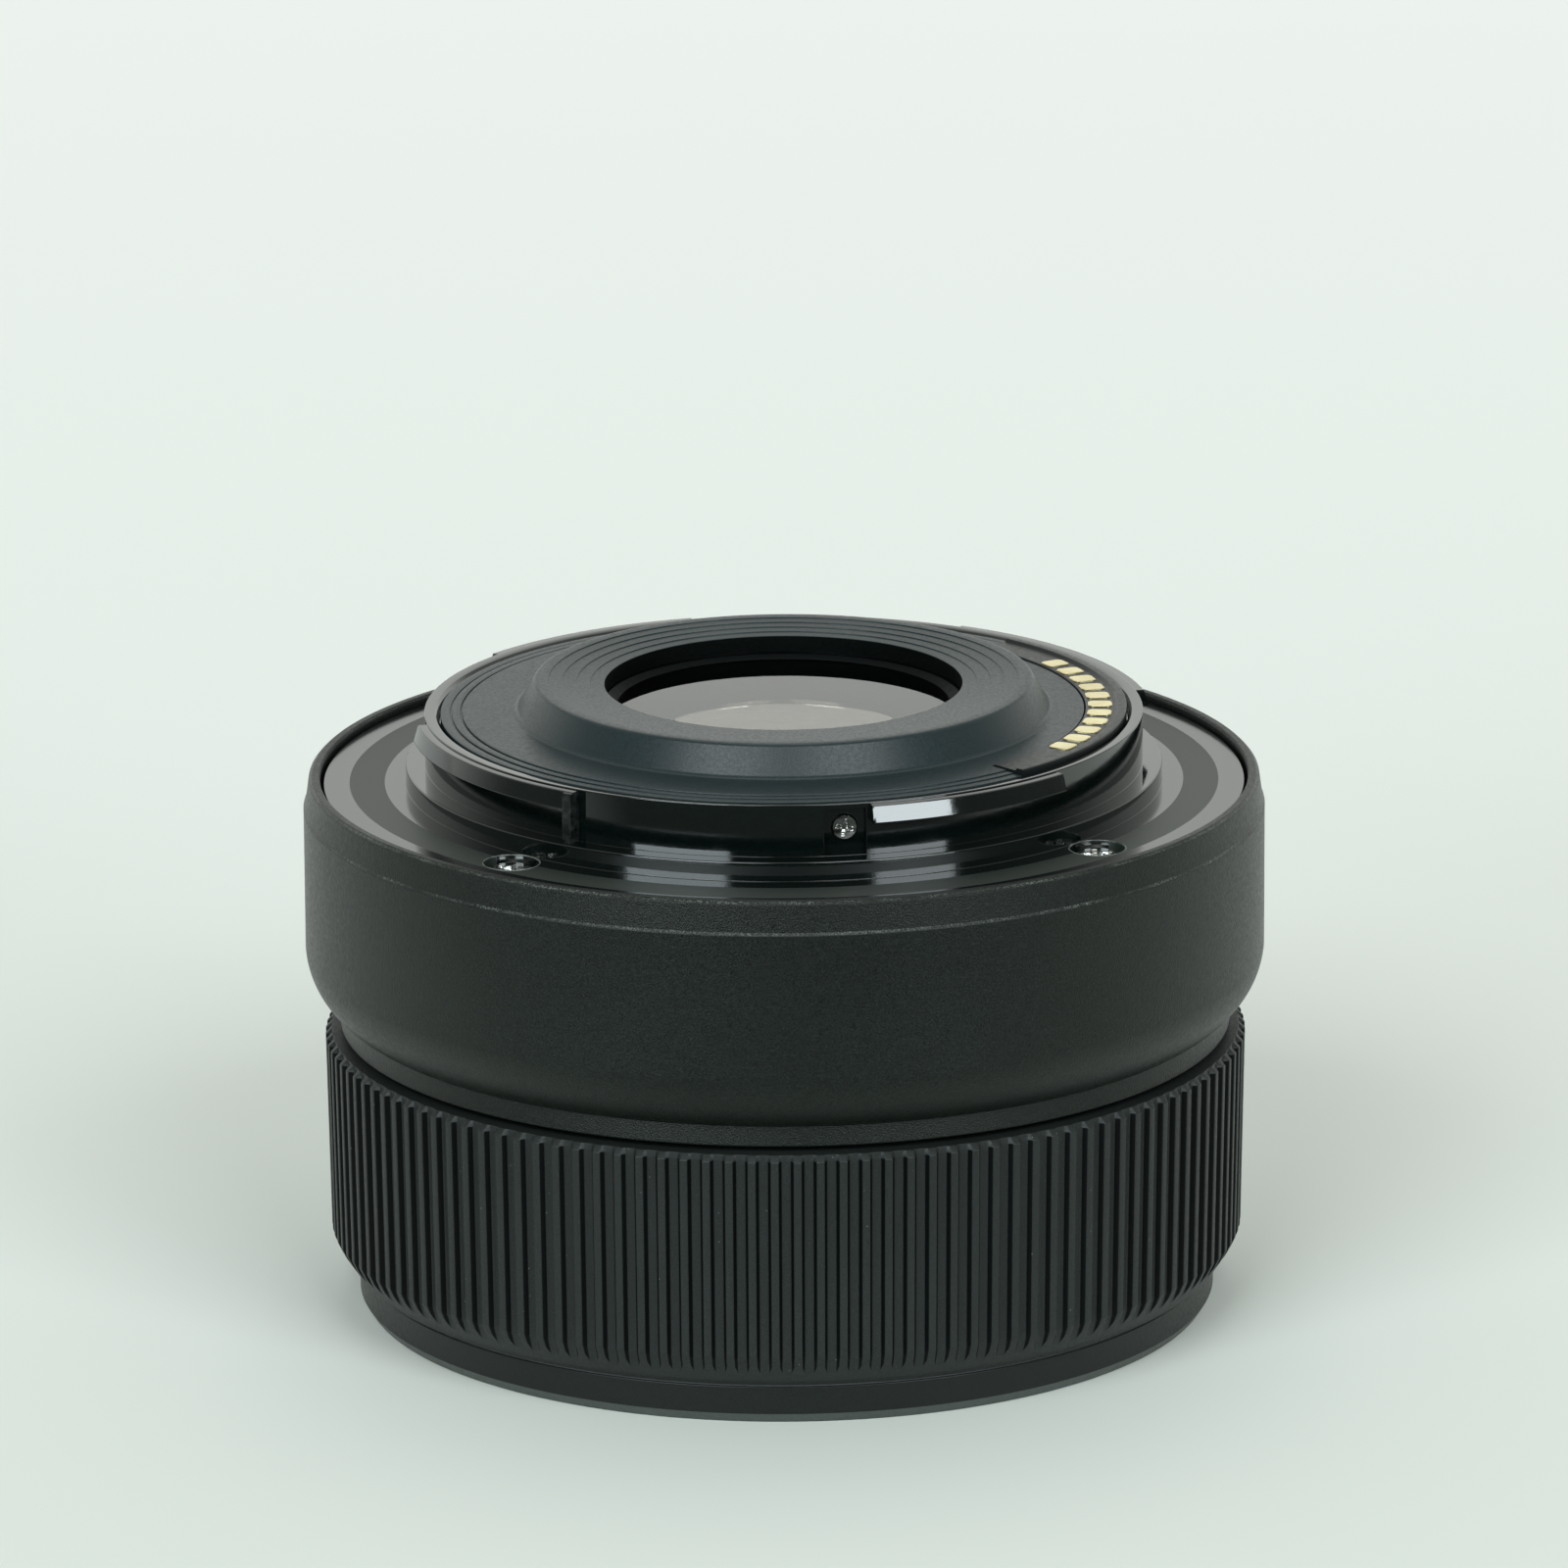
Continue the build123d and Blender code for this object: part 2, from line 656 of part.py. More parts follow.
with BuildPart() as iris_cover:
    collar_radius = iris_ring_bore - running_fit
    revolve(profile([
        (collar_radius - collar_wall, ring_floor), (collar_radius, ring_floor), (collar_radius, cover_floor),
        (iris_base_radius - iris_cover_skirt, cover_floor), (iris_base_radius - iris_cover_skirt, iris_floor),
        (iris_base_radius, iris_floor), (iris_base_radius, cover_top),
        (collar_radius - collar_wall, cover_top),
    ]), axis=Axis.Z)
    extrude(disc(gear_room, iris_floor, [pinion_spot]), amount=cover_top - iris_floor,
            mode=Mode.SUBTRACT)
    revolve(profile(box_profile(iris_ring_radius + seat_clearance, iris_base_radius + 1, iris_floor,
                                cover_floor), pinion_azimuth - sector_half),
            axis=Axis.Z, revolution_arc=2 * sector_half, mode=Mode.SUBTRACT)
    extrude(disc(iris_screw_radius, iris_floor, iris_screw_spots), amount=cover_top - iris_floor,
            mode=Mode.SUBTRACT)
finish(iris_cover.part, "iris_cover")

finish(screw_group(iris_screw_spots, cover_top, iris_screw_radius,
                   cover_top - iris_floor + iris_base_thickness / 2, iris_screw_head_radius,
                   iris_screw_head_height), "iris_screws")

tooth_pitch = pi * gear_module
tooth_width = tooth_pitch / 2 - tooth_backlash
tooth_tip = 0.3 * gear_module
addendum = 0.75 * gear_module
dedendum = gear_module


def tooth(pitch_radius, angle, centre=(0, 0), height=0.0):
    """One straight-sided tooth on a level plane, pointing along an angle from its gear's centre."""
    root, tip = pitch_radius - dedendum - 0.1, pitch_radius + addendum
    slope = (tooth_width - 2 * tooth_tip) / (2 * addendum)
    root_half = tooth_width / 2 + slope * (dedendum + 0.1) / 2
    with BuildSketch(Plane.XY.offset(height), mode=Mode.PRIVATE) as outline:
        with BuildLine():
            Polyline((root, -root_half), (pitch_radius, -tooth_width / 2), (tip, -tooth_tip),
                     (tip, tooth_tip), (pitch_radius, tooth_width / 2), (root, root_half), close=True)
        make_face()
    return outline.sketch.rotate(Axis.Z, angle).translate((centre[0], centre[1], 0))


with BuildPart() as iris_ring:
    revolve(profile(box_profile(iris_ring_bore, iris_ring_radius, ring_floor,
                                ring_floor + iris_ring_thickness)), axis=Axis.Z)
    revolve(profile(box_profile(iris_ring_radius - 0.2, sector_pitch_radius - dedendum, ring_floor,
                                ring_floor + iris_ring_thickness),
                    pinion_azimuth - sector_half + 5), axis=Axis.Z, revolution_arc=2 * sector_half - 10)
    for step in range(sector_shown):
        angle = iris_drive_angle + (step - (sector_shown - 1) / 2) * 360 / sector_teeth
        extrude(tooth(sector_pitch_radius, angle, height=ring_floor), amount=iris_ring_thickness)
    slot_width = 2 * (pin_radius + slot_clearance)
    with BuildSketch(Plane.XY.offset(ring_floor)):
        for azimuth in blade_spots:
            with Locations(Location(place(azimuth, drive_pin_circle - pin_run / 2), azimuth - 90)):
                SlotCenterToCenter(pin_run + slot_clearance, slot_width)
    extrude(amount=iris_ring_thickness, mode=Mode.SUBTRACT)
finish(iris_ring.part, "iris_ring")


def blade_outline(azimuth, height):
    """A crescent blade with its pivot boss and lever, on a level plane."""
    tail, tip = radians(-blade_tail), radians(blade_span)
    middle = (tail + tip) / 2
    inner = [(blade_inner_radius * cos(a), blade_inner_radius * sin(a)) for a in (tail, middle, tip)]
    outer = [(blade_outer_radius * cos(a), blade_outer_radius * sin(a)) for a in (tail, middle, tip)]
    with BuildSketch(Plane.XY.offset(height), mode=Mode.PRIVATE) as outline:
        with BuildLine():
            ThreePointArc(*inner)
            Line(inner[2], outer[2])
            ThreePointArc(*outer)
            Line(outer[0], inner[0])
        make_face()
        with Locations(((blade_outer_radius + drive_pin_circle) / 2 - 0.3, 0)):
            Rectangle(drive_pin_circle - blade_outer_radius + 0.6, 2 * lever_radius)
        with Locations((drive_pin_circle, 0)):
            Circle(lever_radius)
    return outline.sketch.rotate(Axis.Z, azimuth - 90)


for number, azimuth in enumerate(blade_spots, start=1):
    blade_z = iris_floor + running_fit + (number - 1) * blade_pitch
    with BuildPart() as iris_blade:
        extrude(blade_outline(azimuth, blade_z), amount=blade_thickness)
        extrude(disc(pin_radius, blade_z, [place(azimuth, pivot_circle)]),
                amount=iris_floor - iris_base_thickness * 0.6 - blade_z)
        extrude(disc(pin_radius, blade_z, [place(azimuth, drive_pin_circle)]),
                amount=ring_floor + iris_ring_thickness - blade_z)
    finish(iris_blade.part, f"iris_blade_{number}")

shaft_foot = shelf_z - pinion_shaft_length
gear_half_pitch = 180 / pinion_teeth
with BuildPart() as iris_pinion:
    extrude(disc(pinion_pitch_radius - dedendum, ring_floor, [pinion_spot]), amount=iris_ring_thickness)
    for step in range(pinion_teeth):
        extrude(tooth(pinion_pitch_radius, iris_drive_angle + 180 + (2 * step + 1) * gear_half_pitch,
                      pinion_spot, ring_floor), amount=iris_ring_thickness)
    extrude(disc(pinion_shaft_radius, ring_floor, [pinion_spot]), amount=shaft_foot - ring_floor)
finish(iris_pinion.part, "iris_pinion")

with BuildPart() as iris_motor:
    extrude(disc(iris_motor_radius, shelf_z, [pinion_spot]), amount=-iris_motor_height)
    extrude(disc(pinion_shaft_radius + running_fit, shelf_z, [pinion_spot]),
            amount=shaft_foot - shelf_z - seat_clearance, mode=Mode.SUBTRACT)
finish(iris_motor.part, "iris_motor")

# ---------------------------------------------------------------- focus group and its drive
focus_foot = rim(lens_5["front"]) - cell_lip / 2
focus_top = focus_foot + sleeve_boss_length
focus_radius = lens_6["edge"] + cell_wall
focus_lip_z = rim(lens_6["front"])
drive_azimuth = drive_angle + 90
drive_spot = place(drive_azimuth, drive_circle)
nut_z = focus_foot + nut_lift
nut_inner = drive_circle - nut_depth / 2
boss_z = focus_foot + sleeve_boss_drop
flag_azimuth = sensor_angle + 90

with BuildPart() as focus_cell:
    revolve(profile([
        (lens_5["edge"] + glass_clearance, focus_foot), (focus_radius, focus_foot), (focus_radius, focus_top),
        (lens_6["edge"] + glass_clearance, focus_top), (lens_6["edge"] + glass_clearance, focus_lip_z),
        (lens_6["front"][2], focus_lip_z), (lens_5["rear"][2], focus_lip_z - cell_lip),
        (lens_5["rear"][2], rim(lens_5["rear"])), (lens_5["edge"] + glass_clearance, rim(lens_5["rear"])),
    ]), axis=Axis.Z)
    extrude(radial_box(270, focus_radius - 1, rod_circle, arm_width, nut_z), amount=arm_thickness)
    extrude(disc(sleeve_boss_radius, boss_z, [rod_spots[0]]), amount=sleeve_boss_length - sleeve_boss_drop)
    extrude(radial_box(90, focus_radius - 1, rod_circle + arm_overrun, arm_width, nut_z), amount=arm_thickness)
    extrude(radial_box(drive_azimuth, focus_radius - 1, nut_inner, nut_width, nut_z),
            amount=arm_thickness)
    extrude(radial_box(flag_azimuth, focus_radius - 1, rod_circle - 1, flag_thickness, boss_z),
            amount=flag_height)
    extrude(disc(rod_radius + running_fit, boss_z, [rod_spots[0]]), amount=sleeve_boss_length,
            mode=Mode.SUBTRACT)
    extrude(radial_box(90, rod_circle - rod_radius - seat_clearance, rod_circle + 3,
                       2 * (rod_radius + running_fit), nut_z), amount=arm_thickness, mode=Mode.SUBTRACT)
finish(focus_cell.part, "focus_cell")

for number, lens in enumerate((lens_5, lens_6), start=5):
    with BuildPart() as element:
        revolve(glass(lens), axis=Axis.Z)
    finish(element.part, f"lens_{number}")

with BuildPart() as focus_retaining_ring:
    revolve(profile(box_profile(lens_6["rear"][2] + seat_clearance, lens_6["edge"], rim(lens_6["rear"]),
                                rim(lens_6["rear"]) + retainer_height)), axis=Axis.Z)
finish(focus_retaining_ring.part, "focus_retaining_ring")

with BuildPart() as focus_nut:
    extrude(radial_box(drive_azimuth, nut_inner, drive_circle + nut_depth / 2, nut_width, nut_z),
            amount=nut_height)
    extrude(disc(lead_screw_radius + running_fit, nut_z, [drive_spot]), amount=nut_height,
            mode=Mode.SUBTRACT)
finish(focus_nut.part, "focus_nut")

motor_top = shelf_top + focus_motor_height
bracket_top = frame_top - 0.3
upright_inner = drive_circle + nut_depth / 2 + 0.4
with BuildPart() as focus_motor:
    extrude(disc(focus_motor_radius, shelf_top, [drive_spot]), amount=focus_motor_height)
    extrude(disc(lead_screw_radius + running_fit, motor_top, [drive_spot]), amount=-focus_motor_height / 3,
            mode=Mode.SUBTRACT)
finish(focus_motor.part, "focus_motor")

with BuildPart() as focus_bracket:
    extrude(radial_box(drive_azimuth, drive_circle - nut_depth / 2, upright_inner + bracket_thickness,
                       bracket_width, motor_top), amount=bracket_thickness)
    extrude(radial_box(drive_azimuth, upright_inner, upright_inner + bracket_thickness,
                       bracket_width, motor_top), amount=bracket_top - motor_top)
    extrude(radial_box(drive_azimuth, drive_circle - nut_depth / 2, upright_inner + bracket_thickness,
                       bracket_width, bracket_top), amount=-bracket_thickness)
    extrude(disc(lead_screw_radius + running_fit, motor_top, [drive_spot]),
            amount=bracket_top - motor_top, mode=Mode.SUBTRACT)
finish(focus_bracket.part, "focus_bracket")

with BuildPart() as lead_screw:
    extrude(disc(lead_screw_radius, motor_top - focus_motor_height / 4, [drive_spot]),
            amount=bracket_top - motor_top + focus_motor_height / 4)
finish(lead_screw.part, "lead_screw")

rod_top = frame_top + rear_cell_flange_thickness * 0.6
with BuildPart() as guide_rods:
    extrude(disc(rod_radius, shelf_top - rod_seat, rod_spots), amount=rod_top - shelf_top + rod_seat)
finish(guide_rods.part, "guide_rods")

sensor_top = boss_z + flag_height + focus_travel + 0.3
with BuildPart() as focus_sensor:
    extrude(radial_box(flag_azimuth, iris_base_radius + 0.4, frame_bore - 0.6, sensor_width, shelf_top),
            amount=sensor_top - shelf_top)
    extrude(radial_box(flag_azimuth, iris_base_radius, rod_circle + 0.6, sensor_slot, shelf_top + 2),
            amount=sensor_top - shelf_top, mode=Mode.SUBTRACT)
finish(focus_sensor.part, "focus_sensor")

# ---------------------------------------------------------------- rear lens group
retainer_radius = lens_9["edge"] + retainer_thread_wall
rear_cell_foot = frame_top - rear_cell_nose
retainer_z = rim(lens_9["rear"]) - rear_glass_step
cell_mouth = retainer_z + retainer_height + 0.2
board_screw_spots = ring_of(board_screw_count, board_screw_circle, board_screw_first)
mount_screw_spots = ring_of(mount_screw_count, mount_screw_circle, mount_screw_first)
screw_seat = flange_z - mount_screw_head_height - mount_screw_sink

with BuildPart() as rear_cell:
    revolve(profile([
        (lens_7["edge"] + glass_clearance, rear_cell_foot), (focus_radius + cell_lip, rear_cell_foot),
        (focus_radius + cell_lip, frame_top), (rear_cell_flange_radius, frame_top),
        (rear_cell_flange_radius, flange_top_z), (rear_cell_radius, flange_top_z),
        (rear_cell_radius, cell_mouth), (retainer_radius, cell_mouth),
        (retainer_radius, retainer_z), (lens_9["edge"] + glass_clearance, retainer_z),
        (lens_9["edge"] + glass_clearance, rim(lens_9["front"])),
        (lens_8["edge"] + glass_clearance, rim(lens_9["front"])),
        (lens_8["edge"] + glass_clearance, rim(lens_8["front"])),
        (lens_8["front"][2] + seat_clearance, rim(lens_8["front"])),
        (lens_7["rear"][2] + seat_clearance, rim(lens_8["front"]) - cell_lip / 2),
        (lens_7["rear"][2] + seat_clearance, rim(lens_7["rear"])),
        (lens_7["edge"] + glass_clearance, rim(lens_7["rear"])),
    ]), axis=Axis.Z)
    extrude(disc(board_pad_radius, flange_top_z, board_screw_spots), amount=board_lift)
    extrude(disc(board_screw_radius, board_z, board_screw_spots),
            amount=-board_lift - rear_cell_flange_thickness / 2, mode=Mode.SUBTRACT)
    extrude(disc(mount_screw_radius, flange_top_z, mount_screw_spots),
            amount=-rear_cell_flange_thickness, mode=Mode.SUBTRACT)
    extrude(disc(rod_radius, frame_top, rod_spots), amount=rod_top - frame_top, mode=Mode.SUBTRACT)
finish(rear_cell.part, "rear_cell")

for number, (lens, step) in enumerate(((lens_7, 0.0), (lens_8, 0.0), (lens_9, rear_glass_step)), start=7):
    with BuildPart() as element:
        revolve(glass(lens, step), axis=Axis.Z)
    finish(element.part, f"lens_{number}")

with BuildPart() as rear_spacer:
    revolve(profile(box_profile(lens_8["rear"][2] + seat_clearance, lens_8["edge"], rim(lens_8["rear"]),
                                rim(lens_9["front"]))), axis=Axis.Z)
finish(rear_spacer.part, "rear_spacer")

retainer_bore = lens_9["rear"][2] + 1.5 * seat_clearance
with BuildPart() as rear_retaining_ring:
    revolve(profile([
        (retainer_bore, retainer_z), (retainer_radius, retainer_z),
        (retainer_radius, retainer_z + retainer_height),
        (baffle_mouth, retainer_z + retainer_height), (retainer_bore, retainer_z + retainer_height / 2),
    ]), axis=Axis.Z)
finish(rear_retaining_ring.part, "rear_retaining_ring")

# ---------------------------------------------------------------- rear casing
floor_bore = carrier_bore + comb_wall + floor_gap
floor_top = taper_z + floor_height
neck_top_radius = neck_radius - neck_draft
dot_z = shoulder_z - index_dot_drop

with BuildPart() as rear_casing:
    with BuildSketch(upright(90)) as casing_outline:
        with BuildLine():
            Polyline((floor_bore, neck_z), (neck_radius, neck_z), (neck_top_radius, taper_z))
            ThreePointArc((neck_top_radius, taper_z),
                          (neck_top_radius + 0.66 * (casing_radius - neck_top_radius),
                           taper_z + 0.38 * taper_height), (casing_radius, wall_z))
            Polyline((casing_radius, wall_z), (casing_radius, shoulder_z),
                     (casing_radius - shoulder_bevel, shoulder_z + shoulder_bevel),
                     (shoulder_top_radius, casing_top - rim_bevel),
                     (shoulder_top_radius - rim_bevel, casing_top), (rim_inner, casing_top),
                     (casing_bore, casing_top - rim_bevel), (casing_bore, mount_seat_z),
                     (casing_ledge_bore, mount_seat_z), (casing_ledge_bore, flange_top_z),
                     (casing_inner, flange_top_z), (casing_inner, wall_z + floor_height),
                     (floor_bore + floor_gap, floor_top), (floor_bore, floor_top), (floor_bore, neck_z))
        make_face()
    revolve(axis=Axis.Z)
    extrude(disc(mount_screw_radius, mount_seat_z, mount_screw_spots), amount=flange_top_z - mount_seat_z,
            mode=Mode.SUBTRACT)
    with BuildSketch(radial_plane(index_dot_azimuth, casing_radius - index_dot_sink, dot_z)):
        Circle(index_dot_radius)
    extrude(amount=index_dot_sink + 1, mode=Mode.SUBTRACT)
finish(rear_casing.part, "rear_casing")

with BuildPart() as mount_index_dot:
    with BuildSketch(radial_plane(index_dot_azimuth, casing_radius - index_dot_sink, dot_z)):
        Circle(index_dot_radius)
    extrude(amount=index_dot_sink - 0.02)
finish(mount_index_dot.part, "mount_index_dot")

# ---------------------------------------------------------------- mount plate
side_screw_z = bayonet_z - side_screw_drop
lug_radius = bayonet_radius + lug_reach
lug_z = bayonet_z - lug_thickness - 0.1
pocket_floor = bayonet_radius - side_pocket_depth

with BuildPart() as mount_plate:
    revolve(profile([
        (bayonet_bore, mount_seat_z), (flange_radius, mount_seat_z), (flange_radius, flange_z),
        (spigot_radius, flange_z), (spigot_radius, spigot_z), (bayonet_radius, spigot_z),
        (bayonet_radius, bayonet_z), (bayonet_bore + bayonet_mouth_chamfer, bayonet_z),
        (bayonet_bore, bayonet_z - bayonet_mouth_chamfer), (bayonet_bore, ledge_z),
        (bayonet_bore - ledge_width, ledge_z), (bayonet_bore - ledge_width, ledge_z - ledge_thickness),
        (bayonet_bore, ledge_z - ledge_thickness),
    ]), axis=Axis.Z)
    for start, span in lug_arcs:
        revolve(profile(box_profile(bayonet_radius - 0.3, lug_radius, lug_z, bayonet_z - 0.1), start),
                axis=Axis.Z, revolution_arc=span)
    stop_end = lug_arcs[0][0] + lug_arcs[0][1]
    revolve(profile(box_profile(bayonet_radius - 0.3, lug_radius, spigot_z - 0.2, bayonet_z - 0.1),
                    stop_end - stop_width / 2), axis=Axis.Z, revolution_arc=stop_width / 2)
    extrude(disc(counterbore_radius, flange_z, mount_screw_spots), amount=screw_seat - flange_z,
            mode=Mode.SUBTRACT)
    extrude(disc(mount_screw_radius, screw_seat, mount_screw_spots), amount=mount_seat_z - screw_seat,
            mode=Mode.SUBTRACT)
    for azimuth in side_screw_azimuths:
        with BuildSketch(radial_plane(azimuth, pocket_floor, side_screw_z)):
            Rectangle(side_pocket, side_pocket)
        extrude(amount=side_pocket_depth + lug_reach, mode=Mode.SUBTRACT)
        with BuildSketch(radial_plane(azimuth, pocket_floor, side_screw_z)):
            Circle(side_screw_radius)
        extrude(amount=bayonet_bore - ledge_width - pocket_floor, mode=Mode.SUBTRACT)
finish(mount_plate.part, "mount_plate")

finish(screw_group(mount_screw_spots, screw_seat, mount_screw_radius, screw_seat - frame_top,
                   mount_screw_head_radius, mount_screw_head_height), "mount_screws")

with BuildPart() as side_screws:
    for azimuth in side_screw_azimuths:
        with BuildSketch(radial_plane(azimuth, pocket_floor, side_screw_z)):
            Circle(side_screw_radius)
        extrude(amount=bayonet_bore - ledge_width - pocket_floor)
        with BuildSketch(radial_plane(azimuth, pocket_floor, side_screw_z)):
            Circle(side_screw_head_radius)
        extrude(amount=side_screw_head_height)
        with BuildSketch(radial_plane(azimuth, pocket_floor + side_screw_head_height, side_screw_z)):
            Rectangle(1.3 * side_screw_head_radius, 0.25 * side_screw_head_radius)
            Rectangle(0.25 * side_screw_head_radius, 1.3 * side_screw_head_radius)
        extrude(amount=-side_screw_head_height * 0.6, mode=Mode.SUBTRACT)
finish(side_screws.part, "side_screws")

# ---------------------------------------------------------------- contacts
block_start = block_azimuth - block_span / 2
block_outer = bayonet_bore - block_gap
block_top = bayonet_z + block_below_mount
contact_spots = [block_azimuth + contact_pitch * (step - (contact_count - 1) / 2)
                 for step in range(contact_count)]
ledge_bore = bayonet_bore - ledge_width - block_gap

with BuildPart() as contact_block:
    revolve(profile([
        (block_inner_radius, block_top - block_depth), (ledge_bore, block_top - block_depth),
        (ledge_bore, ledge_z), (block_outer, ledge_z), (block_outer, block_top + block_lip_height),
        (block_outer - block_lip_width, block_top + block_lip_height),
        (block_outer - block_lip_width - block_lip_height, block_top), (block_inner_radius, block_top),
    ], block_start), axis=Axis.Z, revolution_arc=block_span)
finish(contact_block.part, "contact_block")

with BuildPart() as contact_pads:
    for azimuth in contact_spots:
        extrude(radial_box(azimuth, contact_circle - contact_length / 2,
                           contact_circle + contact_length / 2, contact_width, block_top),
                amount=contact_proud)
finish(contact_pads.part, "contact_pads")

# ---------------------------------------------------------------- rear baffle
plate_top = ledge_z + baffle_wall
baffle_plate_outer = bayonet_bore - block_gap
band_outer = baffle_plate_radius - baffle_groove_width - baffle_band_width
step_width = (baffle_radius - baffle_mouth) / baffle_steps
step_drop = baffle_dish / baffle_steps
baffle_outline = [
    (baffle_mouth, cell_mouth), (baffle_radius - baffle_wall, cell_mouth),
    (baffle_foot_radius - baffle_wall, ledge_z), (baffle_plate_outer, ledge_z),
    (baffle_plate_outer, plate_top - baffle_plate_drop),
    (baffle_plate_radius + baffle_band_width + 2 * baffle_groove_width, plate_top - baffle_plate_drop),
    (baffle_plate_radius + baffle_band_width + 2 * baffle_groove_width, plate_top - baffle_groove_depth),
    (baffle_plate_radius + baffle_band_width + baffle_groove_width, plate_top - baffle_groove_depth),
    (baffle_plate_radius + baffle_band_width + baffle_groove_width, plate_top - baffle_plate_drop / 2),
    (baffle_plate_radius + baffle_groove_width, plate_top - baffle_plate_drop / 2),
    (baffle_plate_radius + baffle_groove_width, plate_top - baffle_groove_depth),
    (baffle_plate_radius, plate_top - baffle_groove_depth),
    (baffle_plate_radius, plate_top), (baffle_foot_radius, plate_top),
]
for step in range(baffle_steps):
    outer, height = baffle_radius - step * step_width, baffle_top - step * step_drop
    baffle_outline += [(outer, height), (outer - step_width, height - step_drop * 0.2)]

with BuildPart() as rear_baffle:
    with BuildSketch(upright(90)) as baffle_section:
        with BuildLine():
            Polyline(*baffle_outline, close=True)
        make_face()
        fillet(baffle_section.vertices().sort_by(Axis.Y)[-1], baffle_edge_round)
    revolve(axis=Axis.Z)
    revolve(profile(box_profile(block_inner_radius - block_gap, bayonet_bore, ledge_z - 1, plate_top + 1),
                    block_start - 0.3), axis=Axis.Z, revolution_arc=block_span + 0.6, mode=Mode.SUBTRACT)
finish(rear_baffle.part, "rear_baffle")

# ---------------------------------------------------------------- electronics
with BuildPart() as main_board:
    revolve(profile(box_profile(board_bore, board_radius, board_z, board_top)), axis=Axis.Z)
    extrude(disc(board_screw_radius, board_z, board_screw_spots), amount=board_thickness,
            mode=Mode.SUBTRACT)
finish(main_board.part, "main_board")

finish(screw_group(board_screw_spots, board_top, board_screw_radius,
                   board_thickness + board_lift + rear_cell_flange_thickness / 2,
                   board_screw_head_radius, board_screw_head_height), "board_screws")

connector_inner = contact_circle - connector_depth / 2
with BuildPart() as board_components:
    for azimuth, width, length in chip_places:
        extrude(radial_box(azimuth, chip_inner_radius, chip_inner_radius + length, width, board_top),
                amount=chip_height)
    extrude(radial_box(block_azimuth, connector_inner, connector_inner + connector_depth, flex_width + 1, board_top),
            amount=chip_height)
finish(board_components.part, "board_components")

with BuildPart() as contact_flex:
    extrude(radial_box(block_azimuth, contact_circle - 0.5, contact_circle - 0.5 + flex_thickness,
                       flex_width, board_top + chip_height),
            amount=block_top - block_depth - board_top - chip_height)
finish(contact_flex.part, "contact_flex")

ring_sensor_z = carrier_top + comb_gap
ring_sensor_azimuth = ring_sensor_angle + 90
with BuildPart() as ring_sensor:
    extrude(radial_box(ring_sensor_azimuth, frame_radius - 0.5, carrier_bore - comb_gap,
                       ring_sensor_width, ring_sensor_z), amount=ring_sensor_height)
    revolve(profile(box_profile(0, frame_radius, ring_sensor_z - 1,
                                ring_sensor_z + ring_sensor_height + 1)),
            axis=Axis.Z, mode=Mode.SUBTRACT)
finish(ring_sensor.part, "ring_sensor")
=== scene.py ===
import math

import bpy
from mathutils import Matrix, Vector


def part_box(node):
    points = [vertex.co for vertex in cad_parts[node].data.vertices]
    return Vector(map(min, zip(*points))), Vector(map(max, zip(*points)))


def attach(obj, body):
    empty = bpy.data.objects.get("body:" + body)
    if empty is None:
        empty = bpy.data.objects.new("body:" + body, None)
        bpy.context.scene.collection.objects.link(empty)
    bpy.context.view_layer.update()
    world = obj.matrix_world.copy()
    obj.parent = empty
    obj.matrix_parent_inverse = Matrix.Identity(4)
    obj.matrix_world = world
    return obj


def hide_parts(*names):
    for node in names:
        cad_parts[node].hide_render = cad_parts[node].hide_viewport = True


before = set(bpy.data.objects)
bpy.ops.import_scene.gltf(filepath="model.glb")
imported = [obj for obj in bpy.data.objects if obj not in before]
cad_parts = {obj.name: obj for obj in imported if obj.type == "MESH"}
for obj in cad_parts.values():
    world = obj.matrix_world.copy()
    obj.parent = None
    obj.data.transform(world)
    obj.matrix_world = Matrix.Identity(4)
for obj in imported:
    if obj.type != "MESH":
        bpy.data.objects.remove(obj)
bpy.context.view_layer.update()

MM = 0.001

# ---------------------------------------------------------------- sizes from the frame, in millimetres


def box_mm(node):
    """The radius, foot and top of a node that is centred on the optical axis."""
    low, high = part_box(node)
    return max(high[0], -low[0], high[1], -low[1]) / MM, low[2] / MM, high[2] / MM


def on_circle(radius, azimuth):
    """The x and y at an azimuth in degrees, which is 0 towards the viewer and grows to the right."""
    angle = math.radians(azimuth - 90)
    return radius * math.cos(angle), radius * math.sin(angle)


CASING_RADIUS, CASING_FOOT, CASING_TOP = box_mm("rear_casing")
SHOULDER = CASING_TOP - 2.3

# The flange is the face that meets the camera, and the ledge is the raised ring inside it.
PLATE_RADIUS, PLATE_FOOT, PLATE_TOP = box_mm("mount_plate")
FLANGE = PLATE_FOOT + 1.7
LEDGE = PLATE_FOOT + 3.1
LEDGE_RADIUS = PLATE_RADIUS - 6
BAYONET_RADIUS = PLATE_RADIUS - 7.4
LUG_RADIUS = BAYONET_RADIUS + 1.0
LUG_FOOT = PLATE_TOP - 1.35
LUG_TOP = PLATE_TOP - 0.1

MOUNT_SCREWS = [on_circle(29.5, azimuth) for azimuth in (-41, 49, 139, 229)]
WELL_RADIUS, WELL_SEGMENTS = 1.95, 72
SIDE_SCREW_AZIMUTHS = (9.5, 189.5)
SIDE_POCKET_FLOOR = 25.55
# Each bayonet lug's first azimuth and span.
LUGS = ((-81.5, 47.5), (13.5, 34.5), (100, 50), (195, 38.5))

# ---------------------------------------------------------------- material nodes

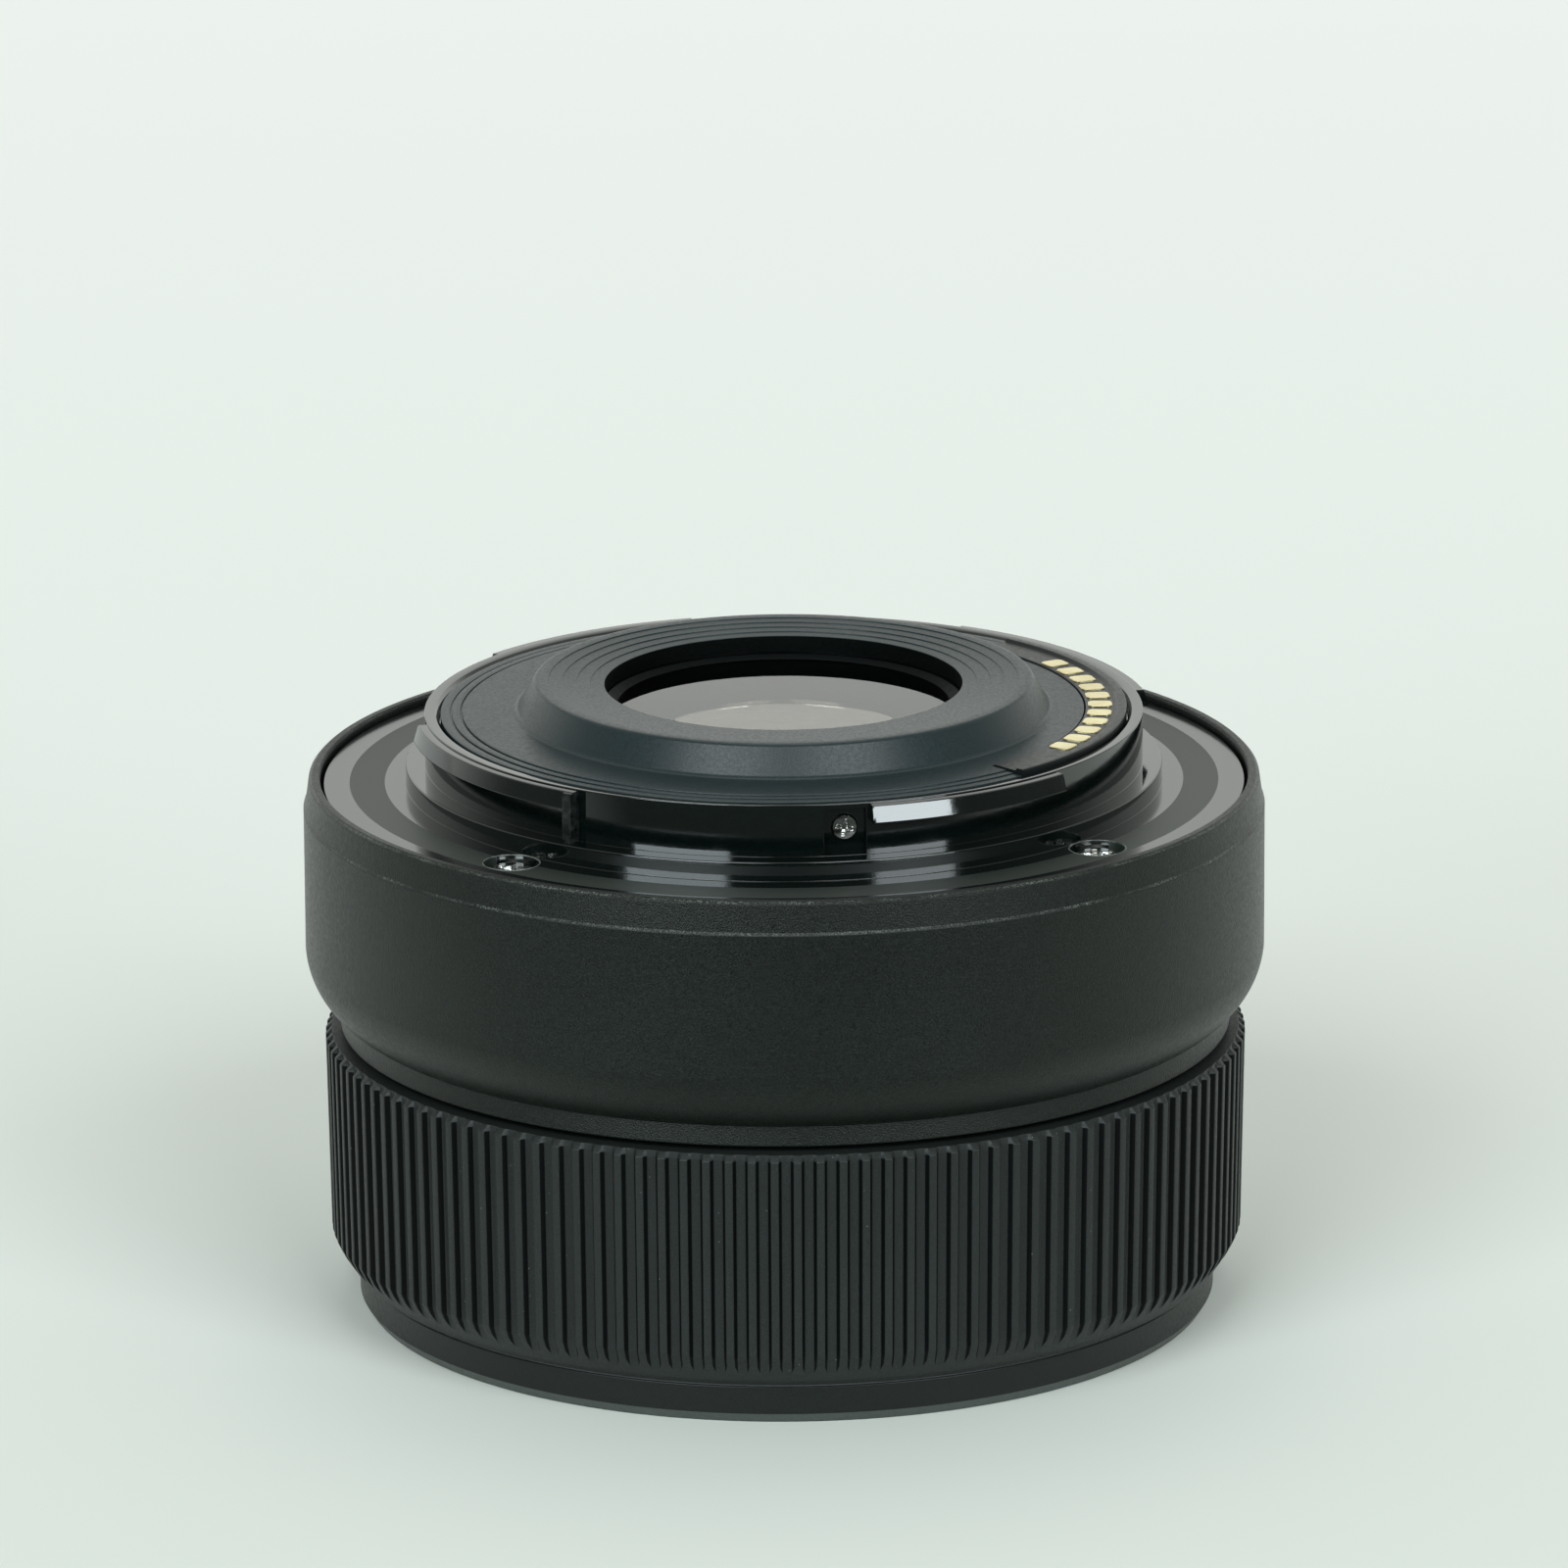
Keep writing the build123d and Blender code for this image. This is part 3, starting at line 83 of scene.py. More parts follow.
# The range that most values of a noise fall in, and the colours of lint and of chipped edges; the chipped
# colour is partly a painted highlight along edges.
MOST_NOISE = (0.3, 0.7)
LINT = (140, 146, 140)
CHIPS_AND_PAINTED_HIGHLIGHT = (104, 110, 104)


def linear(red, green, blue):
    """A colour given as it looks on screen, 0 to 255, as the linear colour a shader takes."""
    made = []
    for value in (red, green, blue):
        share = value / 255
        made.append(share / 12.92 if share <= 0.04045 else ((share + 0.055) / 1.055) ** 2.4)
    return (*made, 1.0)


def colour_sockets(sockets):
    """Those sockets of a mix node that hold colours."""
    return [socket for socket in sockets if socket.type == "RGBA"]


class Nodes:
    """The node tree of a material or world, with short ways to add to it."""

    def __init__(self, owner, shader="Principled BSDF", place="Object"):
        owner.use_nodes = True
        self.owner = owner
        self.tree = owner.node_tree
        self.shader = self.tree.nodes[shader]
        self.place = self.add("ShaderNodeTexCoord").outputs[place]

    def add(self, kind, **settings):
        """A new node with its settings."""
        node = self.tree.nodes.new(kind)
        for key, value in settings.items():
            setattr(node, key, value)
        return node

    def give(self, socket, value):
        """Gives a socket a number, a colour as it looks on screen, or another node's output."""
        if isinstance(value, bpy.types.NodeSocket):
            self.tree.links.new(value, socket)
        elif isinstance(value, tuple):
            socket.default_value = linear(*value)
        else:
            socket.default_value = value

    def feed(self, node, **values):
        """Gives a node's sockets their values by name; underscores stand for spaces."""
        for key, value in values.items():
            self.give(node.inputs[key.replace("_", " ")], value)

    def noise(self, size, detail=2.0, rough=0.5):
        """Noise whose grain is about that many millimetres across."""
        noise = self.add("ShaderNodeTexNoise")
        self.feed(noise, Vector=self.place, Scale=1 / (size * MM), Detail=detail, Roughness=rough)
        return noise.outputs["Fac"]

    def spread(self, value, low, high, to_low=0.0, to_high=1.0, curve="LINEAR"):
        """Maps a value from one range to another."""
        mapped = self.add("ShaderNodeMapRange", interpolation_type=curve)
        self.feed(mapped, Value=value, From_Min=low, From_Max=high, To_Min=to_low, To_Max=to_high)
        return mapped.outputs["Result"]

    def uneven(self, size, low, high):
        """A value that wanders between two others."""
        return self.spread(self.noise(size), *MOST_NOISE, low, high)

    def mix(self, factor, first, second, blend="MIX"):
        """A mix of two colours."""
        mixed = self.add("ShaderNodeMix", data_type="RGBA", blend_type=blend)
        self.feed(mixed, Factor=factor)
        for socket, colour in zip(colour_sockets(mixed.inputs), (first, second)):
            self.give(socket, colour)
        return colour_sockets(mixed.outputs)[0]

    def math(self, operation, *values):
        """The result of an operation on one or two values."""
        node = self.add("ShaderNodeMath", operation=operation)
        for socket, value in zip(node.inputs, values):
            self.give(socket, value)
        return node.outputs[0]

    def product(self, first, *others):
        """All the values multiplied."""
        for other in others:
            first = self.math("MULTIPLY", first, other)
        return first

    def split(self):
        """The x, y and z of the place."""
        parts = self.add("ShaderNodeSeparateXYZ")
        self.feed(parts, Vector=self.place)
        return parts.outputs

    def bump(self, height, depth):
        """The normal of a surface that rises by up to depth millimetres."""
        bump = self.add("ShaderNodeBump")
        self.feed(bump, Height=height, Strength=1.0, Distance=depth * MM)
        return bump.outputs["Normal"]


def speckled(name, dark, light, grain, rough, bump, specular=0.5, cloud=0.15, lint=0.0, worn=()):
    """A moulded or painted surface: fine speckle, slow clouding, uneven gloss and a fine grain.

    Lint lies on it where its size is given, and it is chipped along the worn (height, reach) edges; these
    light chips are partly chipped paint and partly painted highlight along the edges.
    """
    made = Nodes(bpy.data.materials.new(name))
    speckle = made.spread(made.noise(grain, detail=3.0, rough=0.65), 0.32, 0.68)
    clouds = made.uneven(9.0, 1.0 - cloud, 1.0 + cloud)
    colour = made.mix(1.0, made.mix(speckle, dark, light), clouds, "MULTIPLY")
    if lint:
        spots = made.add("ShaderNodeTexVoronoi")
        made.feed(spots, Vector=made.place, Scale=1 / (lint * MM))
        near = made.spread(spots.outputs["Distance"], 0.03, 0.045, 1.0, 0.0)
        picked = made.math("GREATER_THAN", made.noise(lint * 3, detail=0.0), 0.48)
        colour = made.mix(made.product(near, picked), colour, LINT)
    # Light chips along each worn edge: partly chipped paint, partly a painted highlight of the edge.
    for height, reach in worn:
        away = made.math("ABSOLUTE", made.math("SUBTRACT", made.split()["Z"], height * MM))
        near = made.spread(away, reach * 0.6 * MM, reach * MM, 1.0, 0.0)
        chips = made.spread(made.noise(0.14, detail=3.0, rough=0.7), 0.46, 0.66)
        patches = made.spread(made.noise(4.0), 0.35, 0.6, 0.1, 1.0)
        colour = made.mix(made.product(near, chips, patches), colour, CHIPS_AND_PAINTED_HIGHLIGHT)
    made.feed(made.shader, Base_Color=colour, Roughness=made.uneven(grain * 2.5, rough - 0.06, rough + 0.06),
              Normal=made.bump(made.noise(grain * 0.8), bump), Specular_IOR_Level=specular, IOR=1.5)
    return made.owner


def polished(name, colour, worn, rough, grain=0.4, bump=0.002, metal=1.0):
    """A bright or blackened metal with fine handling marks."""
    made = Nodes(bpy.data.materials.new(name))
    marks = made.spread(made.noise(grain, detail=3.0, rough=0.6), 0.35, 0.7)
    made.feed(made.shader, Base_Color=made.mix(marks, colour, worn), Metallic=metal,
              Roughness=made.uneven(grain * 3, rough * 0.8, rough * 1.25),
              Normal=made.bump(made.noise(grain * 0.5), bump))
    return made.owner


def gloss_black(name):
    """Gloss black plastic; the flange is satin, with a matte band."""
    made = Nodes(bpy.data.materials.new(name))
    x, y, height = made.split()
    radius = made.math("SQRT", made.math("ADD", made.product(x, x), made.product(y, y)))
    low = made.math("LESS_THAN", height, (FLANGE + 0.05) * MM)
    flange = made.product(made.math("GREATER_THAN", radius, (LEDGE_RADIUS - 0.05) * MM), low)
    matte = made.product(made.math("GREATER_THAN", radius, (PLATE_RADIUS - 4.45) * MM),
                         made.math("LESS_THAN", radius, (PLATE_RADIUS - 1.9) * MM), low)
    grain = made.noise(0.25, detail=3.0)
    colour = made.mix(made.spread(grain, *MOST_NOISE), (3, 9, 8), (8, 16, 14))
    rough = made.spread(flange, 0.0, 1.0, made.uneven(1.6, 0.05, 0.10), 0.15)
    made.feed(made.shader, Base_Color=made.mix(matte, colour, (9, 24, 15)),
              Roughness=made.spread(matte, 0.0, 1.0, rough, 0.47),
              Normal=made.bump(grain, 0.0015), IOR=1.5, Specular_IOR_Level=0.95)
    return made.owner


def optical_glass(name, index, tint, specular):
    """Optical glass; a low specular level stands for its coating."""
    made = Nodes(bpy.data.materials.new(name))
    haze = made.spread(made.noise(3.0, detail=1.0), 0.45, 0.75, 0.0, 0.006)
    made.feed(made.shader, Base_Color=tint, Roughness=haze, IOR=index, Transmission_Weight=1.0,
              Specular_IOR_Level=specular)
    return made.owner


SPECKLED = {
    "casing_paint": dict(dark=(2, 6, 4), light=(29, 35, 31), grain=0.13, rough=0.36, bump=0.045,
                         specular=0.29, cloud=0.06,
                         # The casing's rim edge and shoulder line get light chips: partly chipped paint,
                         # partly painted highlight.
                         worn=((CASING_TOP - 0.12, 0.09), (SHOULDER + 0.03, 0.11))),
    "grip_rubber": dict(dark=(17, 22, 21), light=(35, 41, 39), grain=0.10, rough=0.5, bump=0.012,
                        specular=0.38, cloud=0.08, lint=0.8),
    # Near-black groove walls of the grip ring: painted shade standing in for the shadow deep in the grooves.
    "painted_shade_groove_wall": dict(dark=(3, 5, 5), light=(8, 11, 10), grain=0.1, rough=0.6, bump=0.006, specular=0.12),
    "front_plastic": dict(dark=(8, 13, 11), light=(19, 25, 22), grain=0.14, rough=0.4, bump=0.006,
                          specular=0.36, cloud=0.06),
    # A lighter finish for the front ring's foot chamfer: painted reflection, standing in for the lit floor it
    # faces.
    "painted_reflection_chamfer": dict(dark=(57, 64, 60), light=(72, 79, 75), grain=0.14, rough=0.45, bump=0.005, cloud=0.06),
    "frame_plastic": dict(dark=(20, 22, 22), light=(28, 30, 30), grain=0.3, rough=0.6, bump=0.01),
    "carrier_plastic": dict(dark=(22, 24, 25), light=(28, 30, 31), grain=0.2, rough=0.5, bump=0.004),
    "encoder_plastic": dict(dark=(28, 30, 31), light=(34, 36, 37), grain=0.2, rough=0.45, bump=0.003),
    "baffle_plastic": dict(dark=(10, 23, 24), light=(29, 45, 48), grain=0.09, rough=0.36, bump=0.006,
                           specular=0.45, cloud=0.05),
    "contact_plastic": dict(dark=(14, 17, 17), light=(24, 28, 28), grain=0.12, rough=0.34, bump=0.004,
                            specular=0.35, cloud=0.06),
    "scuffed_plastic": dict(dark=(2, 4, 4), light=(40, 45, 42), grain=0.6, rough=0.2, bump=0.004, cloud=0.06),
    # Bright rings round the mount screw wells: painted highlight standing in for the chamfers' glint.
    "painted_glint_ring": dict(dark=(8, 11, 10), light=(118, 125, 118), grain=0.9, rough=0.3, bump=0.004, cloud=0.06),
    "cell_black": dict(dark=(5, 8, 8), light=(10, 13, 13), grain=0.15, rough=0.42, bump=0.003, specular=0.12,
                       cloud=0.06),
    "ground_edge": dict(dark=(3, 6, 5), light=(9, 12, 11), grain=0.2, rough=0.7, bump=0.003, specular=0.04),
    "board_green": dict(dark=(20, 62, 40), light=(34, 84, 54), grain=0.5, rough=0.4, bump=0.004),
    "chip_black": dict(dark=(24, 25, 26), light=(34, 35, 36), grain=0.2, rough=0.5, bump=0.003),
    "flex_amber": dict(dark=(150, 88, 30), light=(176, 108, 40), grain=0.8, rough=0.35, bump=0.002),
    "washer_grey": dict(dark=(70, 72, 74), light=(84, 86, 88), grain=0.2, rough=0.5, bump=0.003),
    "index_white": dict(dark=(205, 208, 204), light=(222, 224, 220), grain=0.15, rough=0.45, bump=0.004),
}
POLISHED = {
    "contact_gold": dict(colour=(240, 228, 178), worn=(228, 213, 158), rough=0.22, grain=1.4, bump=0.001),
    "screw_steel": dict(colour=(196, 198, 194), worn=(150, 152, 148), rough=0.14),
    "rod_steel": dict(colour=(190, 192, 194), worn=(160, 162, 164), rough=0.18),
    "motor_steel": dict(colour=(170, 172, 174), worn=(140, 142, 145), rough=0.3),
    "blade_steel": dict(colour=(40, 42, 44), worn=(60, 62, 64), rough=0.45, metal=0.6),
    "nut_brass": dict(colour=(205, 175, 110), worn=(176, 146, 88), rough=0.28),
}
MATERIALS = {name: speckled(name, **finish) for name, finish in SPECKLED.items()}
MATERIALS.update({name: polished(name, **finish) for name, finish in POLISHED.items()})
MATERIALS["mount_plastic"] = gloss_black("mount_plastic")
MATERIALS["glass"] = optical_glass("glass", index=1.62, tint=(250, 250, 250), specular=0.1)
MATERIALS["rear_glass"] = optical_glass("rear_glass", index=1.5, tint=(214, 208, 200), specular=0.5)

# ---------------------------------------------------------------- looks of the CAD nodes

SHARP_CAD_EDGE = 24
SAME_PLACE = 1e-6


def smoother(degrees):
    """A node group that shades smooth and keeps edges sharper than an angle."""
    group = bpy.data.node_groups.new("smooth_by_angle", "GeometryNodeTree")
    for direction in ("INPUT", "OUTPUT"):
        group.interface.new_socket("Geometry", in_out=direction, socket_type="NodeSocketGeometry")
    add, link = group.nodes.new, group.links.new
    inside, outside = add("NodeGroupInput"), add("NodeGroupOutput")
    forget = add("GeometryNodeRemoveAttribute")
    forget.inputs["Name"].default_value = "custom_normal"
    merge = add("GeometryNodeMergeByDistance")
    merge.inputs["Distance"].default_value = SAME_PLACE
    faces = add("GeometryNodeSetShadeSmooth")
    faces.domain = "FACE"
    edges = add("GeometryNodeSetShadeSmooth")
    edges.domain = "EDGE"
    edges.inputs["Shade Smooth"].default_value = False
    angle = add("GeometryNodeInputMeshEdgeAngle")
    sharp = add("FunctionNodeCompare")
    sharp.data_type = "FLOAT"
    sharp.operation = "GREATER_THAN"
    sharp.inputs[1].default_value = math.radians(degrees)
    link(angle.outputs["Unsigned Angle"], sharp.inputs[0])
    link(sharp.outputs["Result"], edges.inputs["Selection"])
    chain = [inside, forget, merge, faces, edges, outside]
    for before, after in zip(chain, chain[1:]):
        link(before.outputs[0], after.inputs[0])
    return group


smooth = smoother(SHARP_CAD_EDGE)
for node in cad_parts.values():
    for material_slot in node.material_slots:
        material_slot.material = MATERIALS[material_slot.material.name.split(".")[0]]
    node.modifiers.new("smooth", "NODES").node_group = smooth

# ---------------------------------------------------------------- mesh tools, in millimetres

SEGMENTS = 360
SHARP_EDGE = 40
LONGEST_ROUND = 0.45
SHORTEST_ROUND = 0.002
ON_AXIS = 1e-6


def eased(share):
    """0 to 1 with soft ends."""
    share = min(1.0, max(0.0, share))
    return share * share * (3 - 2 * share)


def circle(count):
    """The cosine and sine of each of count angles, once round."""
    angles = [2 * math.pi * step / count for step in range(count)]
    return [(math.cos(angle), math.sin(angle)) for angle in angles]


def rounded(corners, steps=4):
    """The outline through (radius, height, fillet) corners, each fillet as steps + 1 points.

    A fillet takes at most the longest share of its sides, and at least the shortest reach.
    """
    made = []
    for index, (r, z, fillet) in enumerate(corners):
        if fillet <= 0:
            made.append((r, z))
            continue
        here = Vector((r, z))
        to_before = Vector(corners[index - 1][:2]) - here
        to_after = Vector(corners[(index + 1) % len(corners)][:2]) - here
        turn = math.pi - to_before.angle(to_after)
        longest = LONGEST_ROUND * min(to_before.length, to_after.length)
        reach = max(min(fillet * math.tan(turn / 2), longest), SHORTEST_ROUND)
        start = here + to_before.normalized() * reach
        end = here + to_after.normalized() * reach
        for step in range(steps + 1):
            share = step / steps
            point = start * (1 - share) ** 2 + here * 2 * share * (1 - share) + end * share**2
            made.append((point.x, point.y))
    return made


def bowed(first, middle, last, steps=16):
    """Points of the arc through three places."""
    (ax, ay), (bx, by), (cx, cy) = first, middle, last
    a2, b2, c2 = ax * ax + ay * ay, bx * bx + by * by, cx * cx + cy * cy
    scale = 2 * (ax * (by - cy) + bx * (cy - ay) + cx * (ay - by))
    x = (a2 * (by - cy) + b2 * (cy - ay) + c2 * (ay - by)) / scale
    y = (a2 * (cx - bx) + b2 * (ax - cx) + c2 * (bx - ax)) / scale
    radius = math.hypot(ax - x, ay - y)
    start = math.atan2(ay - y, ax - x)
    sweep = (math.atan2(cy - y, cx - x) - start + math.pi) % (2 * math.pi) - math.pi
    angles = [start + sweep * step / steps for step in range(steps + 1)]
    return [(x + radius * math.cos(angle), y + radius * math.sin(angle)) for angle in angles]


def turned(outline, start=0.0, span=360.0, segments=SEGMENTS):
    """Points and faces of a closed (radius, height) outline turned about the axis, from an azimuth."""
    whole = span >= 360
    gaps = segments if whole else max(2, round(segments * span / 360))
    columns = gaps if whole else gaps + 1
    rows = len(outline)
    points, faces, index = [], [], {}
    for column in range(columns):
        angle = math.radians(start - 90 + span * column / gaps)
        c, s = math.cos(angle), math.sin(angle)
        for row, (r, z) in enumerate(outline):
            if r < ON_AXIS and column:
                index[column, row] = index[0, row]
                continue
            index[column, row] = len(points)
            points.append((r * c, r * s, z))
    for column in range(gaps):
        after = (column + 1) % columns
        for row in range(rows):
            below = (row + 1) % rows
            corners = [index[column, row], index[after, row], index[after, below], index[column, below]]
            corners = [corner for place, corner in enumerate(corners) if corner != corners[place - 1]]
            if len(corners) > 2:
                faces.append(tuple(corners))
    if not whole:
        faces.append(tuple(index[0, row] for row in range(rows)))
        faces.append(tuple(index[columns - 1, row] for row in reversed(range(rows))))
    return points, faces


def moved(shape, x, y):
    """The shape at another place."""
    points, faces = shape
    return [(a + x, b + y, c) for a, b, c in points], faces


def bands(rings, around):
    """The faces between rings of points, each with as many points around."""
    faces = []
    for ring in range(rings - 1):
        for step in range(around):
            here = ring * around + step
            after = ring * around + (step + 1) % around
            faces.append((here, after, after + around, here + around))
    return faces


def marked(shape, test):
    """For each face, whether all its points pass a test of their radius and height."""
    points, faces = shape
    return [all(test(math.hypot(*points[v][:2]), points[v][2]) for v in face) for face in faces]


def mesh_object(name, shape):
    """An object in the scene from a shape's points and faces."""
    points, faces = shape
    mesh = bpy.data.meshes.new(name)
    mesh.from_pydata([(x * MM, y * MM, z * MM) for x, y, z in points], [], faces)
    made = bpy.data.objects.new(name, mesh)
    bpy.context.scene.collection.objects.link(made)
    return made


def mesh_piece(name, shape, slot, node, body="barrel", skin=None, second=None, marks=None):
    """A smooth piece that stands for a CAD node and rides on its body.

    It has its slot's material or that of its skin, and its marked faces have a second one.
    """
    piece = mesh_object(name, shape)
    mesh = piece.data
    mesh.polygons.foreach_set("use_smooth", [True] * len(mesh.polygons))
    mesh.materials.append(MATERIALS[skin or slot])
    if second:
        mesh.materials.append(MATERIALS[second])
        mesh.polygons.foreach_set("material_index", [int(mark) for mark in marks])
    mesh.validate()
    mesh.set_sharp_from_angle(angle=math.radians(SHARP_EDGE))
    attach(piece, body)
    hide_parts(node)
    return piece


def weighted(piece):
    """Shades a piece by its large faces, so that small rounds catch the light."""
    modifier = piece.modifiers.new("weighted", "WEIGHTED_NORMAL")
    modifier.keep_sharp = True
    return piece


def lathe(name, outline, slot, node, skin=None, **sweep):
    """A piece turned from an outline."""
    return weighted(mesh_piece(name, turned(outline, **sweep), slot, node, skin=skin))


def carved(piece, shapes):
    """Cuts shapes out of a piece for good."""
    cutters = [mesh_object("cutter", shape) for shape in shapes]
    for cutter in cutters:
        cut = piece.modifiers.new("cut", "BOOLEAN")
        cut.operation = "DIFFERENCE"
        cut.solver = "EXACT"
        cut.object = cutter
    graph = bpy.context.evaluated_depsgraph_get()
    mesh = bpy.data.meshes.new_from_object(piece.evaluated_get(graph))
    piece.modifiers.clear()
    piece.data = mesh
    mesh.set_sharp_from_angle(angle=math.radians(SHARP_EDGE))
    for cutter in cutters:
        bpy.data.objects.remove(cutter)
    return piece


# ---------------------------------------------------------------- rear casing


def casing():
    """The painted rear casing, with small rounds at the rim, the shoulder line and the foot."""
    radius, foot, top = CASING_RADIUS, CASING_FOOT, CASING_TOP
    hem = radius - 4.15
    hem_top = foot + 2.05
    neck = (radius - 2.65, foot + 1.45)
    wall = radius - 1.4
    rim = radius - 1.25
    rim_round = top - 0.25
    throat = radius - 6.4
    seat = SHOULDER - 1.5
    outline = rounded([(hem, foot, 0.1), (radius - 2.45, foot, 0.12), (*neck, 0)])
    outline += bowed(neck, (radius - 0.9, foot + 3.1), (radius, foot + 5.8))[1:]
    outline += rounded([(radius, SHOULDER - 0.12, 0.1), (radius - 0.14, SHOULDER + 0.09, 0.1),
                        (radius - 0.42, rim_round, 0.12), (radius - 0.67, top, 0.12),
                        (radius - 1.17, top, 0.1), (rim, rim_round, 0.1), (rim, SHOULDER, 0.1),
                        (throat, SHOULDER, 0.1), (throat, seat, 0.1), (wall, seat, 0), (wall, foot + 6.4, 0),
                        (radius - 3.75, hem_top, 0), (hem, hem_top, 0.1)])
    lathe("casing_shell", outline, "casing_paint", "rear_casing")


def index_dot():
    """The white mount index, a thin disc that follows the casing's curve."""
    low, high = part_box("mount_index_dot")
    x, y, z = [(low[axis] + high[axis]) / 2 / MM for axis in range(3)]
    azimuth = math.atan2(y, x)
    disc, around = 0.9, 40
    points = []
    for size, proud in ((1.0, -0.05), (1.0, 0.015), (0.93, 0.03), (0.0, 0.03)):
        reach = CASING_RADIUS + proud
        for c, s in circle(around if size else 1):
            swing = azimuth + disc * size * c / CASING_RADIUS
            points.append((reach * math.cos(swing), reach * math.sin(swing), z + disc * size * s))
    faces = bands(3, around)
    middle = len(points) - 1
    last_ring = middle - around
    for step in range(around):
        faces.append((last_ring + step, last_ring + (step + 1) % around, middle))
    weighted(mesh_piece("index_dot", (points, faces), "index_white", "mount_index_dot"))


casing()
index_dot()

# ---------------------------------------------------------------- grip ring and front ring


def grip_ring():
    """The ribbed ring: a polar mesh whose columns run along rib tops, walls and groove floors."""
    radius, foot, top = box_mm("control_ring")
    ribs, half_rib, wall, depth, bevel = 130, 0.263, 0.24, 0.47, 0.45
    bore = radius - 2.35
    heel = [(bore, foot, 0.05), (radius - 2.0, foot, 0.12), (radius - 1.51, foot + 0.52, 0.25)]
    roof = [(bore, top, 0.05)]
    ridge = rounded(heel + [(radius - 0.6, foot + 1.872, 0.5), (radius - 0.25, foot + 2.6, 0.5),
                            (radius, top - bevel, 0.12), (radius - bevel, top, 0.1)] + roof)
    groove = rounded(heel + [(radius - 1.08, foot + 1.16, 0.3), (radius - 0.72, foot + 2.3, 0.5),
                             (radius - depth, top - bevel, 0.12), (radius - depth - 0.01, top, 0.04)] + roof)
    pitch = 2 * math.pi * radius / ribs
    edge = half_rib + wall
    falling = [(0.0, 0.0), (half_rib - 0.07, 0.0), (half_rib, 0.04), (half_rib + 0.03, 0.14),
               (edge - 0.03, 0.86), (edge, 0.95), (edge + 0.05, 0.99), (pitch / 2, 1.0)]
    columns = falling + [(pitch - place, share) for place, share in reversed(falling[1:-1])]
    points = []
    for number in range(ribs):
        for place, share in columns:
            angle = (number * pitch + place) / radius
            c, s = math.cos(angle), math.sin(angle)
            for (r1, z1), (r2, z2) in zip(ridge, groove):
                r = r1 + (r2 - r1) * share
                points.append((r * c, r * s, z1 + (z2 - z1) * share))
    rows = len(ridge)
    sunk = [high[0] - deep[0] > 0.2 for high, deep in zip(ridge, groove)]
    total = ribs * len(columns)
    faces, walls = [], []
    for column in range(total):
        here = column * rows
        after = ((column + 1) % total) * rows
        shares = [columns[place % len(columns)][1] for place in (column, column + 1)]
        steep = abs(shares[0] - shares[1]) > 0.5
        for row in range(rows):
            below = (row + 1) % rows
            faces.append((here + row, after + row, after + below, here + below))
            # Steep faces deep in the grooves are marked for the dark material: painted shade.
            walls.append(steep and sunk[row] and sunk[below])
    weighted(mesh_piece("grip_ring", (points, faces), "grip_rubber", "control_ring", body="control_ring",
                        second="painted_shade_groove_wall", marks=walls))


def front_ring():
    """The fixed ring at the front, with its foot chamfer, fascia and sleeve."""
    radius, foot, top = box_mm("front_barrel")
    eye = radius - 8.8
    sleeve, sleeve_bore = radius - 1.4, radius - 3.1
    chamfer, chamfer_top = radius - 0.5, foot + 0.78
    fascia, ledge = foot + 3.3, foot + 2.8
    shape = turned(rounded([(eye, foot + 0.8, 0.1), (radius - 1.5, foot, 0.2), (chamfer, foot, 0.15),
                            (radius, chamfer_top, 0.15), (radius, ledge, 0.12), (sleeve, ledge, 0.05),
                            (sleeve, top, 0.1), (sleeve_bore, top, 0.1), (sleeve_bore, fascia, 0.1),
                            (eye, fascia, 0.1)]))
    # The foot chamfer's faces get the lighter material: painted reflection.
    reflection_faces = marked(shape, lambda r, z: r > chamfer - 0.02 and foot + 0.02 < z < chamfer_top - 0.02)
    weighted(mesh_piece("front_ring", shape, "front_plastic", "front_barrel", second="painted_reflection_chamfer", marks=reflection_faces))


grip_ring()
front_ring()

# ---------------------------------------------------------------- mount plate


